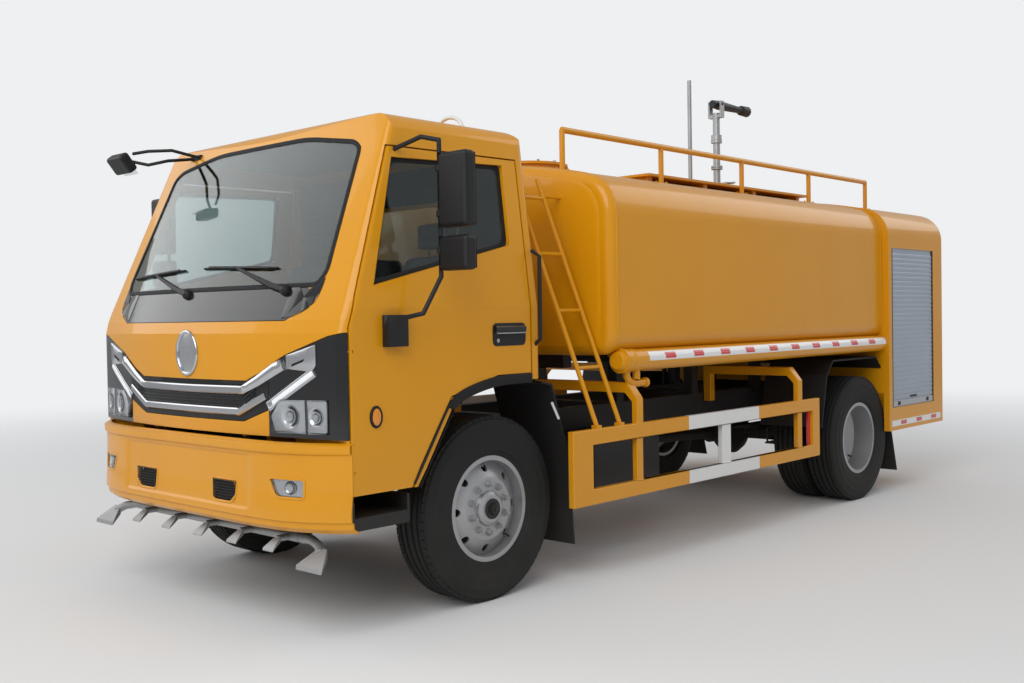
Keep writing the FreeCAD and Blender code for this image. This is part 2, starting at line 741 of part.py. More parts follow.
tank = crowned("TankShell", "tank_half", "tank_low", "tank_shoulder", "tank_crown_mid",
               "tank_front", "tank_rear")
rounded(tank, "TankTopRound", "tank_top_round",
        lambda edge: along(edge, AXIS_Y) and edge.CenterOfMass.z > val("tank_low") + 300)
rounded(tank, "TankLowRound", "tank_low_round",
        lambda edge: along(edge, AXIS_Y) and edge.CenterOfMass.z < val("tank_low") + 1
        and abs(edge.CenterOfMass.x) > val("tank_half") - 1)
rounded(tank, "TankHeadRound", "tank_head_round",
        lambda edge: abs(edge.BoundBox.YMax - val("tank_front")) < 1e-3)
sizes({
    "hatch_y": 1450,
    "hatch_half": 250,
    "hatch_rim": 20,
    "hatch_high": 2425,
    "lid_half": 275,
    "lid_thick": 18,
    "lid_gap": 0.3,
    "lid_pin": 10,
    "lid_pin_y": 1755,
    "lid_pin_z": 2440,
})
neck = rod("Neck", "hatch_half", ("0", "hatch_y", "tank_crown_mid - 40"),
           "hatch_high - tank_crown_mid + 40", "Z")
neck_well = rod("NeckWell", "hatch_half - hatch_rim", ("0", "hatch_y", "hatch_high - 45"), "60", "Z")
lug_posts = [box("HatchLug%d" % index, ends, ("lid_pin_y - 22", "lid_pin_y + 22"),
                 ("tank_crown_mid - 20", "lid_pin_z + 18"))
             for index, ends in enumerate((("70", "86"), ("0 - 86", "0 - 70")))]
lug_pin = rod("HatchPin", "lid_pin", ("0 - 80", "lid_pin_y", "lid_pin_z"), "160", "X")
node("water_tank", cut("Tank", join("TankNecked", [tank, neck, lug_pin] + lug_posts), [neck_well]))
lid_plate = rod("LidPlate", "lid_half", ("0", "hatch_y", "hatch_high + lid_gap"), "lid_thick", "Z")
lid_arm = box("LidArm", ("0 - lid_arm_half", "lid_arm_half"), ("hatch_y + lid_arm_start", "lid_pin_y"),
              ("hatch_high + lid_gap + 4", "hatch_high + lid_gap + lid_thick"))
lid_knuckle = rod("LidKnuckle", "lid_pin + 10", ("0 - lid_arm_half", "lid_pin_y", "lid_pin_z"),
                  "2 * lid_arm_half", "X")
lid_bore = rod("LidBore", "lid_pin + pin_play", ("0 - 70", "lid_pin_y", "lid_pin_z"), "140", "X")
lid_grip = box("LidGrip", ("0 - 70", "70"), ("hatch_y - 200", "hatch_y - 180"),
               ("hatch_high + lid_thick", "hatch_high + lid_thick + 30"))
node("hatch_lid", cut("Lid", join("LidJoined", [lid_plate, lid_arm, lid_knuckle, lid_grip]), [lid_bore]))

# Round side tubes under the tank's flanks, with a tapered front end
sizes({
    "tube_x": 1128,
    "tube_z": 1186,
    "tube_front": 1050,
    "side_tube_radius": 62,
    "tube_cap": 90,
    "web_thick": 16,
    "tap_hole": 14,
})
side_tube = turned("SideTubeRound", [
    ("0 - tube_cap", "0"), ("0 - tube_cap", "side_tube_radius * 0.45"),
    ("0 - tube_cap * 0.4", "side_tube_radius * 0.9"), ("0", "side_tube_radius"),
    ("tank_rear - tube_front", "side_tube_radius"), ("tank_rear - tube_front", "0")])
side_tube.Placement = Placement(Vector(0, 0, 0), Rotation(AXIS_Z, 90))
place(side_tube, "tube_x", "tube_front", "tube_z")
tube_web = box("TubeWeb", ("tank_half - tank_low_round - 60", "tube_x"), ("tube_front", "tank_rear"),
               ("tank_low - web_thick", "tank_low"))
tube_tap = rod("TubeTap", "22", ("tube_x", "tube_front + 60", "tube_z - 110"), "110", "Z")
tap_bore = rod("TapBore", "tap_hole", ("tube_x", "tube_front + 60", "tube_z - 120"), "60", "Z")
side_tube_cut = cut("SideTubeCut", join("SideTube", [side_tube, tube_web, tube_tap]), [tap_bore])
node("side_tubes", both_sides("SideTubes", side_tube_cut))

# Equipment box behind the tank, hollow, open at both sides and at the rear for shutters
sizes({
    "bay_half": 1205,
    "bay_low": 490,
    "bay_shoulder": 2205,
    "bay_crown_mid": 2372,
    "bay_rear": 5450,
    "bay_wall": 45,
    "bay_floor": 660,
    "bay_round": 230,
    "door_front": 4400,
    "door_rear": 5215,
    "door_low": 670,
    "door_high": 1935,
    "tunnel_half": 450,
    "tunnel_high": 860,
    "arch_radius": 505,
    "arch_skin": 35,
    "rear_lamp_in": 880,
    "rear_lamp_out": 1120,
    "rear_lamp_deep": 20,
    "rear_lamp_low": 560,
    "rear_lamp_high": 650,
    "shutter_thick": 22,
    "shutter_inset": 10,
    "rear_door_half": 760,
    "rear_round": 60,
})
bay = crowned("BayShell", "bay_half", "bay_low", "bay_shoulder", "bay_crown_mid", "tank_rear", "bay_rear")
rounded(bay, "BayTopRound", "bay_round",
        lambda edge: along(edge, AXIS_Y) and edge.CenterOfMass.z > val("bay_low") + 300)
rounded(bay, "BayRearRound", "rear_round",
        lambda edge: abs(edge.BoundBox.YMin - val("bay_rear")) < 1e-3
        and edge.CenterOfMass.z > val("bay_low") + 10)
bay_room = box("BayRoom", ("bay_wall - bay_half", "bay_half - bay_wall"),
               ("tank_rear + bay_wall", "bay_rear - bay_wall"), ("bay_floor", "bay_shoulder - 60"))
bay_under = box("BayUnder", ("bay_wall - bay_half", "bay_half - bay_wall"),
                ("tank_rear - 10", "bay_rear - bay_wall"), ("bay_low - 10", "bay_floor - bay_wall"))
bay_doors = box("BaySideDoors", ("0 - bay_half - 10", "bay_half + 10"), ("door_front", "door_rear"),
                ("door_low", "door_high"))
bay_back = box("BayRearDoor", ("0 - rear_door_half", "rear_door_half"),
               ("bay_rear - 2 * bay_wall", "bay_rear + 10"),
               ("tunnel_high + bay_wall", "door_high"))
lamp_recess = box("LampRecess", ("rear_lamp_in", "rear_lamp_out"),
                  ("bay_rear - rear_lamp_deep", "bay_rear + 5"),
                  ("rear_lamp_low", "rear_lamp_high"))
lamp_recess_right = mirrored("LampRecessR", lamp_recess)
arch_solid = rod("ArchSolid", "arch_radius", ("bay_wall - bay_half + 2", "wheelbase", "wheel_height"),
                 "2 * (bay_half - bay_wall - 2)", "X")
arch_outer = rod("ArchOuter", "arch_radius + arch_skin",
                 ("bay_wall - bay_half - 5", "wheelbase", "wheel_height"),
                 "2 * (bay_half - bay_wall + 5)", "X")
arch_block = box("ArchBlock", ("bay_wall - bay_half - 5", "bay_half - bay_wall + 5"),
                 ("tank_rear", "wheelbase + arch_radius + arch_skin + 5"),
                 ("bay_floor - bay_wall", "wheel_height + arch_radius + arch_skin"))
arch_wall = overlap("ArchWall", [arch_outer, arch_block])
bay_open = cut("BayOpen", bay, [bay_room, bay_under, bay_doors, bay_back, lamp_recess, lamp_recess_right])
tunnel = box("BayTunnel", ("0 - tunnel_half", "tunnel_half"), ("tank_rear + 1", "bay_rear - 2"),
             ("bay_floor - bay_wall", "tunnel_high + 25"))
tunnel_gap = box("BayTunnelGap", ("25 - tunnel_half", "tunnel_half - 25"),
                 ("tank_rear - 10", "bay_rear - 30"),
                 ("bay_floor - bay_wall - 50", "tunnel_high"))
node("equipment_box", cut("Bay", join("BayTunnelled", [bay_open, tunnel, arch_wall]),
                         [tunnel_gap, arch_solid]))

shutter_left = box("ShutterL", ("bay_half - shutter_inset - shutter_thick", "bay_half - shutter_inset"),
                   ("door_front", "door_rear"), ("door_low", "door_high"))
shutter_back = box("ShutterRear", ("0 - rear_door_half", "rear_door_half"),
                   ("bay_rear - shutter_inset - shutter_thick", "bay_rear - shutter_inset"),
                   ("tunnel_high + bay_wall", "door_high"))
node("roller_shutters", group("Shutters", [
    shutter_left, mirrored("ShutterR", shutter_left), shutter_back]))

# Side guards: two rails and posts, held from the frame by bent arms
sizes({
    "guard_out": 1190,
    "guard_deep": 40,
    "guard_front": 460,
    "guard_rear": 3210,
    "guard_low": 420,
    "guard_high": 830,
    "guard_rail": 85,
    "guard_post": 100,
    "guard_mid_a": 1030,
    "guard_mid_b": 1930,
    "guard_mid_c": 2900,
    "guard_slim": 60,
    "arm_high": 1000,
})
guard_parts = [
    box("GuardTop", ("guard_out - guard_deep", "guard_out"), ("guard_front", "guard_rear"),
        ("guard_high - guard_rail", "guard_high")),
    box("GuardLow", ("guard_out - guard_deep", "guard_out"), ("guard_front", "guard_rear"),
        ("guard_low", "guard_low + guard_rail")),
    box("GuardFront", ("guard_out - guard_deep", "guard_out"), ("guard_front", "guard_front + guard_post"),
        ("guard_low", "guard_high")),
    box("GuardRear", ("guard_out - guard_deep", "guard_out"), ("guard_rear - guard_post", "guard_rear"),
        ("guard_low", "guard_high")),
    box("GuardPostA", ("guard_out - guard_deep", "guard_out - 4"),
        ("guard_mid_a", "guard_mid_a + guard_slim"),
        ("guard_low + 5", "guard_high - 5")),
    box("GuardPostB", ("guard_out - guard_deep", "guard_out - 4"),
        ("guard_mid_b", "guard_mid_b + guard_post"),
        ("guard_low + 5", "guard_high - 5")),
    box("GuardPostC", ("guard_out - guard_deep", "guard_out - 4"),
        ("guard_mid_c", "guard_mid_c + guard_slim"),
        ("guard_low + 5", "guard_high - 5")),
]
for spot in ("guard_mid_a", "guard_mid_c"):
    tag = spot[-1].upper()
    guard_parts.append(prism("GuardArm" + tag, "XZ_Plane", [
        ("guard_out - guard_deep", "guard_high - 10"), ("guard_out", "guard_high - 10"),
        ("guard_out", "arm_high - 30"), ("guard_out - 70", "arm_high + 60"),
        ("rail_outer", "arm_high + 60"), ("rail_outer", "arm_high"),
        ("guard_out - 90", "arm_high"), ("guard_out - guard_deep", "arm_high - 50")],
        spot, spot + " + guard_slim"))
    guard_parts.append(box("GuardFoot" + tag, ("rail_outer", "rail_outer + 60"),
                           (spot, spot + " + guard_slim"), ("rail_high - 60", "arm_high + 30")))
node("side_guards", both_sides("Guards", join("Guard", guard_parts)))

# Ladder on the left, leaning in between cab and tank
sizes({
    "ladder_foot_x": 1165,
    "ladder_foot_y": 690,
    "ladder_wide": 205,
    "ladder_rise": 1380,
    "ladder_lean": 400,
    "ladder_forward": 210,
    "ladder_radius": 13,
    "rung_radius": 10,
    "rungs": 4,
})


ladder_low = Vector(val("ladder_foot_x"), val("ladder_foot_y"),
                    val("guard_high") + val("ladder_radius") - 1)
ladder_run = Vector(-val("ladder_lean"), -val("ladder_forward"), val("ladder_rise"))
ladder_step = Vector(0, val("ladder_wide"), 0)
ladder_parts = []
for index in range(2):
    foot = ladder_low + ladder_step * index
    ladder_parts.append(slanted("LadderRail%d" % index, val("ladder_radius"), foot, foot + ladder_run))
    ladder_parts.append(box("LadderFoot%d" % index, ("ladder_foot_x - 20", "ladder_foot_x + 20"),
                            ("ladder_foot_y + %d * ladder_wide - 20" % index,
                             "ladder_foot_y + %d * ladder_wide + 20" % index),
                            ("guard_high", "guard_high + ladder_radius + 4")))
for index in range(int(val("rungs"))):
    spot = ladder_low + ladder_run * ((index + 1) / (val("rungs") + 0.35))
    ladder_parts.append(slanted("Rung%d" % index, val("rung_radius"), spot, spot + ladder_step))
ladder_top = ladder_low + ladder_run * 0.93 + ladder_step
ladder_parts.append(slanted("LadderStay", val("rung_radius"), ladder_top,
                            Vector(ladder_top.x, val("tank_front"), ladder_top.z)))
node("access_ladder", join("Ladder", ladder_parts))

# Walkway with hand rails on the tank's crown
sizes({
    "walk_half": 560,
    "walk_front": 2060,
    "walk_rear": 4250,
    "walk_thick": 20,
    "walk_high": 2395,
    "walk_feet": 4,
    "walk_foot_first": 2100,
    "walk_foot_step": 683,
    "walk_foot_wide": 50,
    "walk_foot_inset": 40,
    "hoop_x": 640,
    "hoop_front": 1060,
    "hoop_rear": 5150,
    "hoop_high": 2560,
    "hoop_radius": 19,
    "hoop_posts": 5,
})
walk_parts = [box("WalkPlate", ("0 - walk_half", "walk_half"), ("walk_front", "walk_rear"),
                  ("walk_high - walk_thick", "walk_high"))]
for index in range(int(val("walk_feet"))):
    spot = "walk_foot_first + %d * walk_foot_step" % index
    walk_parts.append(box("WalkFoot%d" % index,
                          ("walk_foot_inset - walk_half", "walk_half - walk_foot_inset"),
                          (spot, spot + " + walk_foot_wide"), ("tank_shoulder", "walk_high - walk_thick")))
hoops = []
for side, place_x in (("L", "hoop_x"), ("R", "0 - hoop_x")):
    bars = [rod("HoopTop" + side, "hoop_radius", (place_x, "hoop_front", "hoop_high"),
                "hoop_rear - hoop_front", "Y")]
    for index in range(int(val("hoop_posts"))):
        bars.append(rod("HoopPost%s%d" % (side, index), "hoop_radius - 2",
                        (place_x, "hoop_front + (hoop_rear - hoop_front) * %d / (hoop_posts - 1)" % index,
                         "2300"), "hoop_high - 2300", "Z"))
    hoops.append(cut("Hoop" + side, join("HoopBars" + side, bars), [tank, bay]))
node("roof_walkway", cut("Walkway", join("WalkwayJoined", walk_parts), [tank]))
node("hand_rails", group("HandRails", hoops))

# Water monitor: pedestal, turning head and tilting barrel, and the signal mast before it
sizes({
    "monitor_y": 3790,
    "monitor_foot_radius": 90,
    "monitor_pipe": 28,
    "monitor_turn_z": 2860,
    "mast_y": 3400,
    "mast_radius": 16,
    "mast_high": 3290,
    "barrel_z": 3150,
    "barrel_reach": 480,
})
pedestal = join("Pedestal", [
    rod("PedestalPipe", "monitor_pipe", ("0", "monitor_y", "walk_high"), "monitor_turn_z - walk_high", "Z"),
    rod("PedestalFoot", "monitor_foot_radius", ("0", "monitor_y", "walk_high"), "14", "Z"),
    rod("PedestalCollar", "monitor_pipe + 16", ("0", "monitor_y", "monitor_turn_z - 24"), "24", "Z"),
    rod("PedestalSpigot", "16", ("0", "monitor_y", "monitor_turn_z"), "60", "Z")])
mast = join("Mast", [
    rod("MastPole", "mast_radius", ("0", "mast_y", "walk_high"), "mast_high - walk_high", "Z"),
    rod("MastFoot", "55", ("0", "mast_y", "walk_high"), "10", "Z")])
node("monitor_pedestal", group("PedestalAndMast", [pedestal, mast]))
head = join("HeadSolid", [
    rod("HeadCollar", "monitor_pipe + 14", ("0", "monitor_y", "monitor_turn_z + 1"), "40", "Z"),
    rod("HeadPipe", "monitor_pipe", ("0", "monitor_y", "monitor_turn_z + 30"),
        "barrel_z - monitor_turn_z - 100", "Z"),
    box("HeadForkBase", ("0 - fork_out", "fork_out"), ("monitor_y - fork_half", "monitor_y + fork_half"),
        ("barrel_z - 110", "barrel_z - 85")),
    box("HeadForkL", ("fork_in", "fork_out"), ("monitor_y - fork_half", "monitor_y + fork_half"),
        ("barrel_z - 90", "barrel_z + fork_half")),
    box("HeadForkR", ("0 - fork_out", "0 - fork_in"), ("monitor_y - fork_half", "monitor_y + fork_half"),
        ("barrel_z - 90", "barrel_z + fork_half"))])
head_holes = [rod("HeadSeat", "16 + pin_play", ("0", "monitor_y", "monitor_turn_z - 5"), "66", "Z"),
              rod("HeadPin", "12 + pin_play", ("0 - 80", "monitor_y", "barrel_z"), "160", "X")]
node("monitor_head", cut("Head", head, head_holes))
barrel = turned("BarrelRound", [
    ("0 - 60", "0"), ("0 - 60", "30"), ("40", "38"), ("barrel_reach - 120", "26"),
    ("barrel_reach - 100", "40"), ("barrel_reach", "44"), ("barrel_reach", "30"),
    ("barrel_reach - 60", "18"),
    ("barrel_reach - 60", "0")])
barrel.Placement = Placement(Vector(0, 0, 0), Rotation(AXIS_Z, 90))
place(barrel, "0", "monitor_y", "barrel_z")
barrel_pin = rod("BarrelPin", "12", ("0 - 66", "monitor_y", "barrel_z"), "132", "X")
node("monitor_barrel", join("Barrel", [barrel, barrel_pin]))

# Cab skin: a loft through bowed plan rings, capped by a side view and a front view
sizes({
    "cab_half": 1085,
    "cab_belt": 1500,
    "cab_top": 2455,
    "cab_top_half": 966,
    "cab_high": 2600,
    "roof_fall": 16,
    "roof_tail": 34,
    "roof_peak_y": -150,
    "roof_crown_half": 480,
    "eave_fall": 34,
    "eave_round": 125,
    "brow_round": 150,
    "tail_round": 90,
    "cap_clear": 4,
    "cab_low": 660,
    "cab_front_low": 915,
    "cab_base": 600,
    "nose_y": -1100,
    "cowl_y": -1085,
    "cowl_z": 1450,
    "cowl_drop": 60,
    "brow_y": -650,
    "brow_z": 2335,
    "cab_rear": 335,
    "cab_rear_low": 1120,
    "cab_wall": 50,
    "nose_wall": 90,
    "bow_low": 110,
    "bow_top": 32,
    "corner_low": 60,
    "corner_top": 32,
    "corner_rear": 45,
    "corner_least": 14,
    "arch_a_y": -557,
    "arch_b_y": -500,
    "arch_b_z": 740,
    "arch_c_y": -306,
    "arch_c_z": 1039,
    "arch_d_y": 14,
    "arch_d_z": 1120,
})


def plan_ring(name, height, front, half, bow, corner, rear, back):
    """Closed plan outline of the cab at one height: a bowed front, flat sides, round corners."""
    lean = 2 * math.atan(bow / half)
    for pass_count in range(6):
        turn_x = half - corner + corner * math.sin(lean)
        lean = 2 * math.atan(bow / turn_x)
    turn_y = front + bow
    centre_y = turn_y + corner * math.cos(lean)
    middle = (lean + math.pi / 2) / 2
    centre_x = half - corner
    diagonal = back * (1 - math.sqrt(0.5))
    arcs = []
    for side in (1, -1):
        arcs.append(Part.Arc(
            Vector(side * turn_x, turn_y, height),
            Vector(side * (centre_x + corner * math.sin(middle)), centre_y - corner * math.cos(middle),
                   height),
            Vector(side * half, centre_y, height)).toShape())
        arcs.append(Part.makeLine(Vector(side * half, centre_y, height),
                                  Vector(side * half, rear - back, height)))
        arcs.append(Part.Arc(
            Vector(side * half, rear - back, height),
            Vector(side * (half - diagonal), rear - diagonal, height),
            Vector(side * (half - back), rear, height)).toShape())
    bowed = Part.Arc(Vector(-turn_x, turn_y, height), Vector(0, front, height),
                     Vector(turn_x, turn_y, height)).toShape()
    flat = Part.makeLine(Vector(half - back, rear, height), Vector(back - half, rear, height))
    item = doc.addObject("Part::Feature", name)
    item.Shape = Part.Wire([bowed] + arcs[:3] + [flat] + arcs[:2:-1])
    return item


def amount(text):
    """Work out a plus or minus sum of size names and numbers."""
    total = 0.0
    sign = 1
    for word in text.split():
        if word in "+-":
            sign = 1 if word == "+" else -1
        else:
            number = val(word) if word[0].isalpha() else float(word)
            total += sign * number
    return total


def cab_solid(name, back="0", inset="0", floor="0", nose="0"):
    """Cab's outer shape, moved back by one amount and drawn in by the others."""
    shift = amount(back)
    draw = amount(inset)
    nose_draw = max(amount(nose), draw)
    slope = (val("brow_y") - val("cowl_y")) / (val("brow_z") - val("cowl_z"))
    narrow = (val("cab_half") - val("cab_top_half")) / (val("cab_top") - val("cab_belt"))
    tall = val("cab_top") - val("cowl_z")
    rings = []
    for index, height in enumerate((val("cab_base"), val("cowl_z") - val("cowl_drop"), val("cowl_z"),
                                    val("cab_belt"), val("cab_high"))):
        share = max(0, height - val("cowl_z")) / tall
        front = val("nose_y")
        if height >= val("cowl_z"):
            front = val("cowl_y") + slope * (height - val("cowl_z"))
        front += shift + nose_draw + (draw - nose_draw) * share
        half = val("cab_half") - draw - narrow * max(0, height - val("cab_belt"))
        bow = val("bow_low") + (val("bow_top") - val("bow_low")) * share
        corner = val("corner_low") + (val("corner_top") - val("corner_low")) * share
        rings.append(plan_ring("%s_ring_%d" % (name, index), height, front, half, bow,
                               max(corner - draw, val("corner_least")), val("cab_rear") + shift - draw,
                               max(val("corner_rear") - draw, val("corner_least"))))
    walls = doc.addObject("Part::Loft", name + "_walls")
    walls.Sections = rings
    walls.Solid = True
    walls.Ruled = True
    b = "(%s)" % back
    i = "(%s)" % inset
    f = "(%s)" % floor
    brow = ("cowl_y + (cab_top - roof_fall - %s - cowl_z) * (brow_y - cowl_y) / (brow_z - cowl_z)"
            " - cap_clear + %s + %s" % (i, b, i))
    side = prism(name + "_side", "YZ_Plane", [
        ("nose_y - cut_past", "cab_front_low"), ("nose_y - cut_past", "cowl_z - cowl_drop"),
        ("cowl_y - cap_clear + %s + %s" % (b, i), "cowl_z"),
        (brow, "cab_top - roof_fall - %s" % i),
        ("roof_peak_y + %s" % b, "cab_top - %s" % i),
        ("cab_rear + cap_clear + %s - %s" % (b, i), "cab_top - roof_tail - %s" % i),
        ("cab_rear + cap_clear + %s - %s" % (b, i), "cab_rear_low + %s" % f),
        ("arch_d_y + %s" % b, "arch_d_z + %s" % f),
        ("arch_c_y + %s - %s / 3" % (b, f), "arch_c_z + %s" % f),
        ("arch_b_y + %s - %s" % (b, f), "arch_b_z + %s" % f),
        ("arch_a_y + %s - %s" % (b, f), "cab_low + %s" % f),
        ("nose_y + nose_shelf + %s" % b, "cab_low + %s" % f),
        ("nose_y + nose_shelf + %s" % b, "cab_front_low + %s / 9" % f),
    ], "0 - cab_half - cut_past", "cab_half + cut_past")
    roof_line = val("cab_top") - draw - 2 * val("roof_tail")
    rounded(side, name + "_brow", "brow_round - %s" % i,
            lambda edge: along(edge, AXIS_X) and edge.CenterOfMass.z > roof_line
            and edge.CenterOfMass.y < val("brow_y") + val("brow_reach"))
    rounded(side, name + "_tail", "tail_round - %s" % i,
            lambda edge: along(edge, AXIS_X) and edge.CenterOfMass.z > roof_line
            and edge.CenterOfMass.y > val("cab_rear") - val("cut_past"))
    eave_z = "(cab_top - eave_fall - %s)" % i
    eave_in = "(cab_half - cab_top_half) * (%s - cab_belt) / (cab_top - cab_belt)" % eave_z
    eave_x = "(cab_half - %s + cap_clear)" % eave_in
    across = prism(name + "_across", "XZ_Plane", even([
        ("cab_half + cap_clear - %s" % i, "cab_base - 20"), ("cab_half + cap_clear - %s" % i, "cab_belt"),
        ("%s - %s" % (eave_x, i), eave_z), ("roof_crown_half", "cab_top + cap_clear - %s" % i),
    ]), "nose_y - cut_past", "cab_rear + cut_past")
    rounded(across, name + "_eaves", "eave_round - %s" % i,
            lambda edge: along(edge, AXIS_Y) and edge.CenterOfMass.z > roof_line
            and abs(edge.CenterOfMass.x) > val("roof_crown_half") + val("cut_past"))
    capped = overlap(name + "_capped", [walls, side])
    return overlap(name, [capped, across])


cab_outer = cab_solid("CabOuter")
cab_inner = cab_solid("CabInner", inset="cab_wall", floor="cab_wall", nose="nose_wall")

# Openings and separate panels of the cab's front, as seen from the front
sizes({
    "door_seam_y": -945,
    "seam": 8,
    "screen_low": 1600,
    "screen_high": 2305,
    "screen_wide_half": 895,
    "screen_wide_z": 1665,
    "screen_high_half": 815,
    "screen_mid_half": 400,
    "screen_mid_high": 2362,
    "glass_thick": 7,
    "glass_gap": 0.3,
    "panel_deep": 30,
    "panel_gap": 3,
    "band_low": 1446,
    "band_half": 726,
    "hood_low": 1168,
    "hood_low_half": 474,
    "hood_step_x": 737,
    "hood_step_z": 1291,
    "hood_side_z": 1394,
    "chin_high": 975,
    "chin_half": 628,
    "lamp_in": 640,
})
cab_deep = cab_solid("CabDeep", back="panel_deep")
cab_pane = cab_solid("CabPane", back="glass_thick")
behind_seam = box("BehindSeam", ("0 - cab_half - 50", "cab_half + 50"),
                  ("door_seam_y - seam", "door_seam_y + 400"),
                  ("cab_low - 50", "screen_wide_z + 20"))
front_slab = cut("FrontSlab", cab_outer, [cab_deep, behind_seam])
pane_slab = cut("PaneSlab", cab_outer, [cab_pane])


def seen_from_front(name, points):
    """Straight prism through the cab's front."""
    return prism(name, "XZ_Plane", points, "nose_y - cut_past", "brow_y + brow_reach")


screen_hole = seen_from_front("ScreenHole", even([
    ("screen_wide_half - 40", "screen_low"), ("screen_wide_half", "screen_wide_z"),
    ("screen_high_half + 20", "screen_high - 40"), ("screen_high_half - 40", "screen_high"),
    ("screen_mid_half", "screen_mid_high")]))
screen_fill = seen_from_front("ScreenFill", even([
    ("screen_wide_half - 40", "screen_low + glass_gap"),
    ("screen_wide_half - glass_gap", "screen_wide_z + glass_gap"),
    ("screen_high_half + 20 - glass_gap", "screen_high - 40 - glass_gap"),
    ("screen_high_half - 40 - glass_gap", "screen_high - glass_gap"),
    ("screen_mid_half", "screen_mid_high - glass_gap")]))
band_fill = seen_from_front("BandFill", even([
    ("band_half", "band_low + 3"), ("band_half + 142", "band_low + 78"),
    ("screen_wide_half - 44", "screen_low - 1")]))
hood_fill = seen_from_front("HoodFill", even([
    ("hood_low_half", "hood_low"), ("hood_low_half + 110", "hood_low + 45"),
    ("hood_step_x", "hood_step_z"), ("cab_half - 90", "hood_side_z - 18"),
    ("cab_half + 10", "hood_side_z"), ("cab_half + 10", "screen_wide_z"),
    ("screen_wide_half + 3", "screen_wide_z"), ("band_half + 145", "band_low + 76"),
    ("band_half + 1", "band_low")]))
chin_fill = seen_from_front("ChinFill", even([
    ("chin_half", "cab_front_low"), ("chin_half", "chin_high + 60"), ("hood_low_half - 20", "chin_high")]))
front_hole = seen_from_front("FrontHole", even([
    ("cab_half + 20", "cab_front_low - 3"), ("cab_half + 20", "screen_wide_z + 3"),
    ("screen_wide_half - 2", "screen_wide_z + 3"), ("screen_wide_half - 42", "screen_low - 1")]))
lamp_fill = seen_from_front("LampFill", [
    ("chin_half + 3", "cab_front_low"), ("cab_half + 10", "cab_front_low"),
    ("cab_half + 10", "hood_side_z - 3"), ("cab_half - 90", "hood_side_z - 21"),
    ("hood_step_x + 1", "hood_step_z - 3"), ("chin_half + 3", "hood_low + 66"),
    ("chin_half + 3", "chin_high + 62")])
grille_fill = seen_from_front("GrilleFill", even([
    ("hood_low_half - 22", "chin_high + 3"), ("chin_half", "chin_high + 64"),
    ("chin_half", "hood_low + 64"), ("hood_low_half + 108", "hood_low + 41"),
    ("hood_low_half - 1", "hood_low - 3")]))

# Doors: side outlines, cut right through the wall
sizes({
    "door_tail_y": 250,
    "door_sill": 662,
    "door_belt_z": 1560,
    "door_top_front_y": -620,
    "door_top_z": 2262,
    "window_fy": -792,
    "window_fz": 1600,
    "window_ty": -606,
    "window_tz": 2205,
    "window_ry": 150,
    "window_rz": 2230,
    "window_by": 145,
    "window_bz": 1815,
    "pillar_y": -785,
    "hinge_x": 1077,
    "hinge_y": -935,
    "hinge_pin": 4,
    "hinge_eye": 8,
    "hinge_low": 760,
    "hinge_up": 1300,
    "hinge_leaf": 12,
    "hinge_rise": 20,
})
door_points = [
    ("door_seam_y", "door_sill"), ("arch_a_y - 35", "door_sill"), ("arch_b_y - 35", "arch_b_z + 20"),
    ("arch_c_y - 22", "arch_c_z + 30"), ("arch_d_y - 10", "arch_d_z + 35"),
    ("door_tail_y", "arch_d_z + 35"), ("door_tail_y", "door_top_z"),
    ("door_top_front_y", "door_top_z - 8"), ("door_seam_y + 50", "door_belt_z"),
    ("door_seam_y", "door_belt_z - 150")]
door_hole_points = [
    ("door_seam_y - seam", "door_sill - 20"), ("arch_a_y - 27", "door_sill - 20"),
    ("arch_b_y - 27", "arch_b_z + 16"), ("arch_c_y - 16", "arch_c_z + 23"),
    ("arch_d_y - 8", "arch_d_z + 27"), ("door_tail_y + seam + 4", "arch_d_z + 27"),
    ("door_tail_y + seam + 4", "door_top_z + seam"), ("door_top_front_y - seam", "door_top_z - 8 + seam"),
    ("door_seam_y + 50 - seam", "door_belt_z + 2"), ("door_seam_y - seam", "door_belt_z - 149")]
door_hole_left = prism("DoorHoleL", "YZ_Plane", door_hole_points, "cab_half - door_reach",
                       "cab_half + cut_past")


def cab_section(name, inset):
    """Space between the cab's side walls, each drawn in by the same amount."""
    i = "(%s)" % inset
    return prism(name, "XZ_Plane", even([
        ("cab_half - %s" % i, "cab_base"), ("cab_half - %s" % i, "cab_belt"),
        ("cab_top_half - %s" % i, "cab_top")]), "nose_y - cut_past", "cab_rear + cut_past")


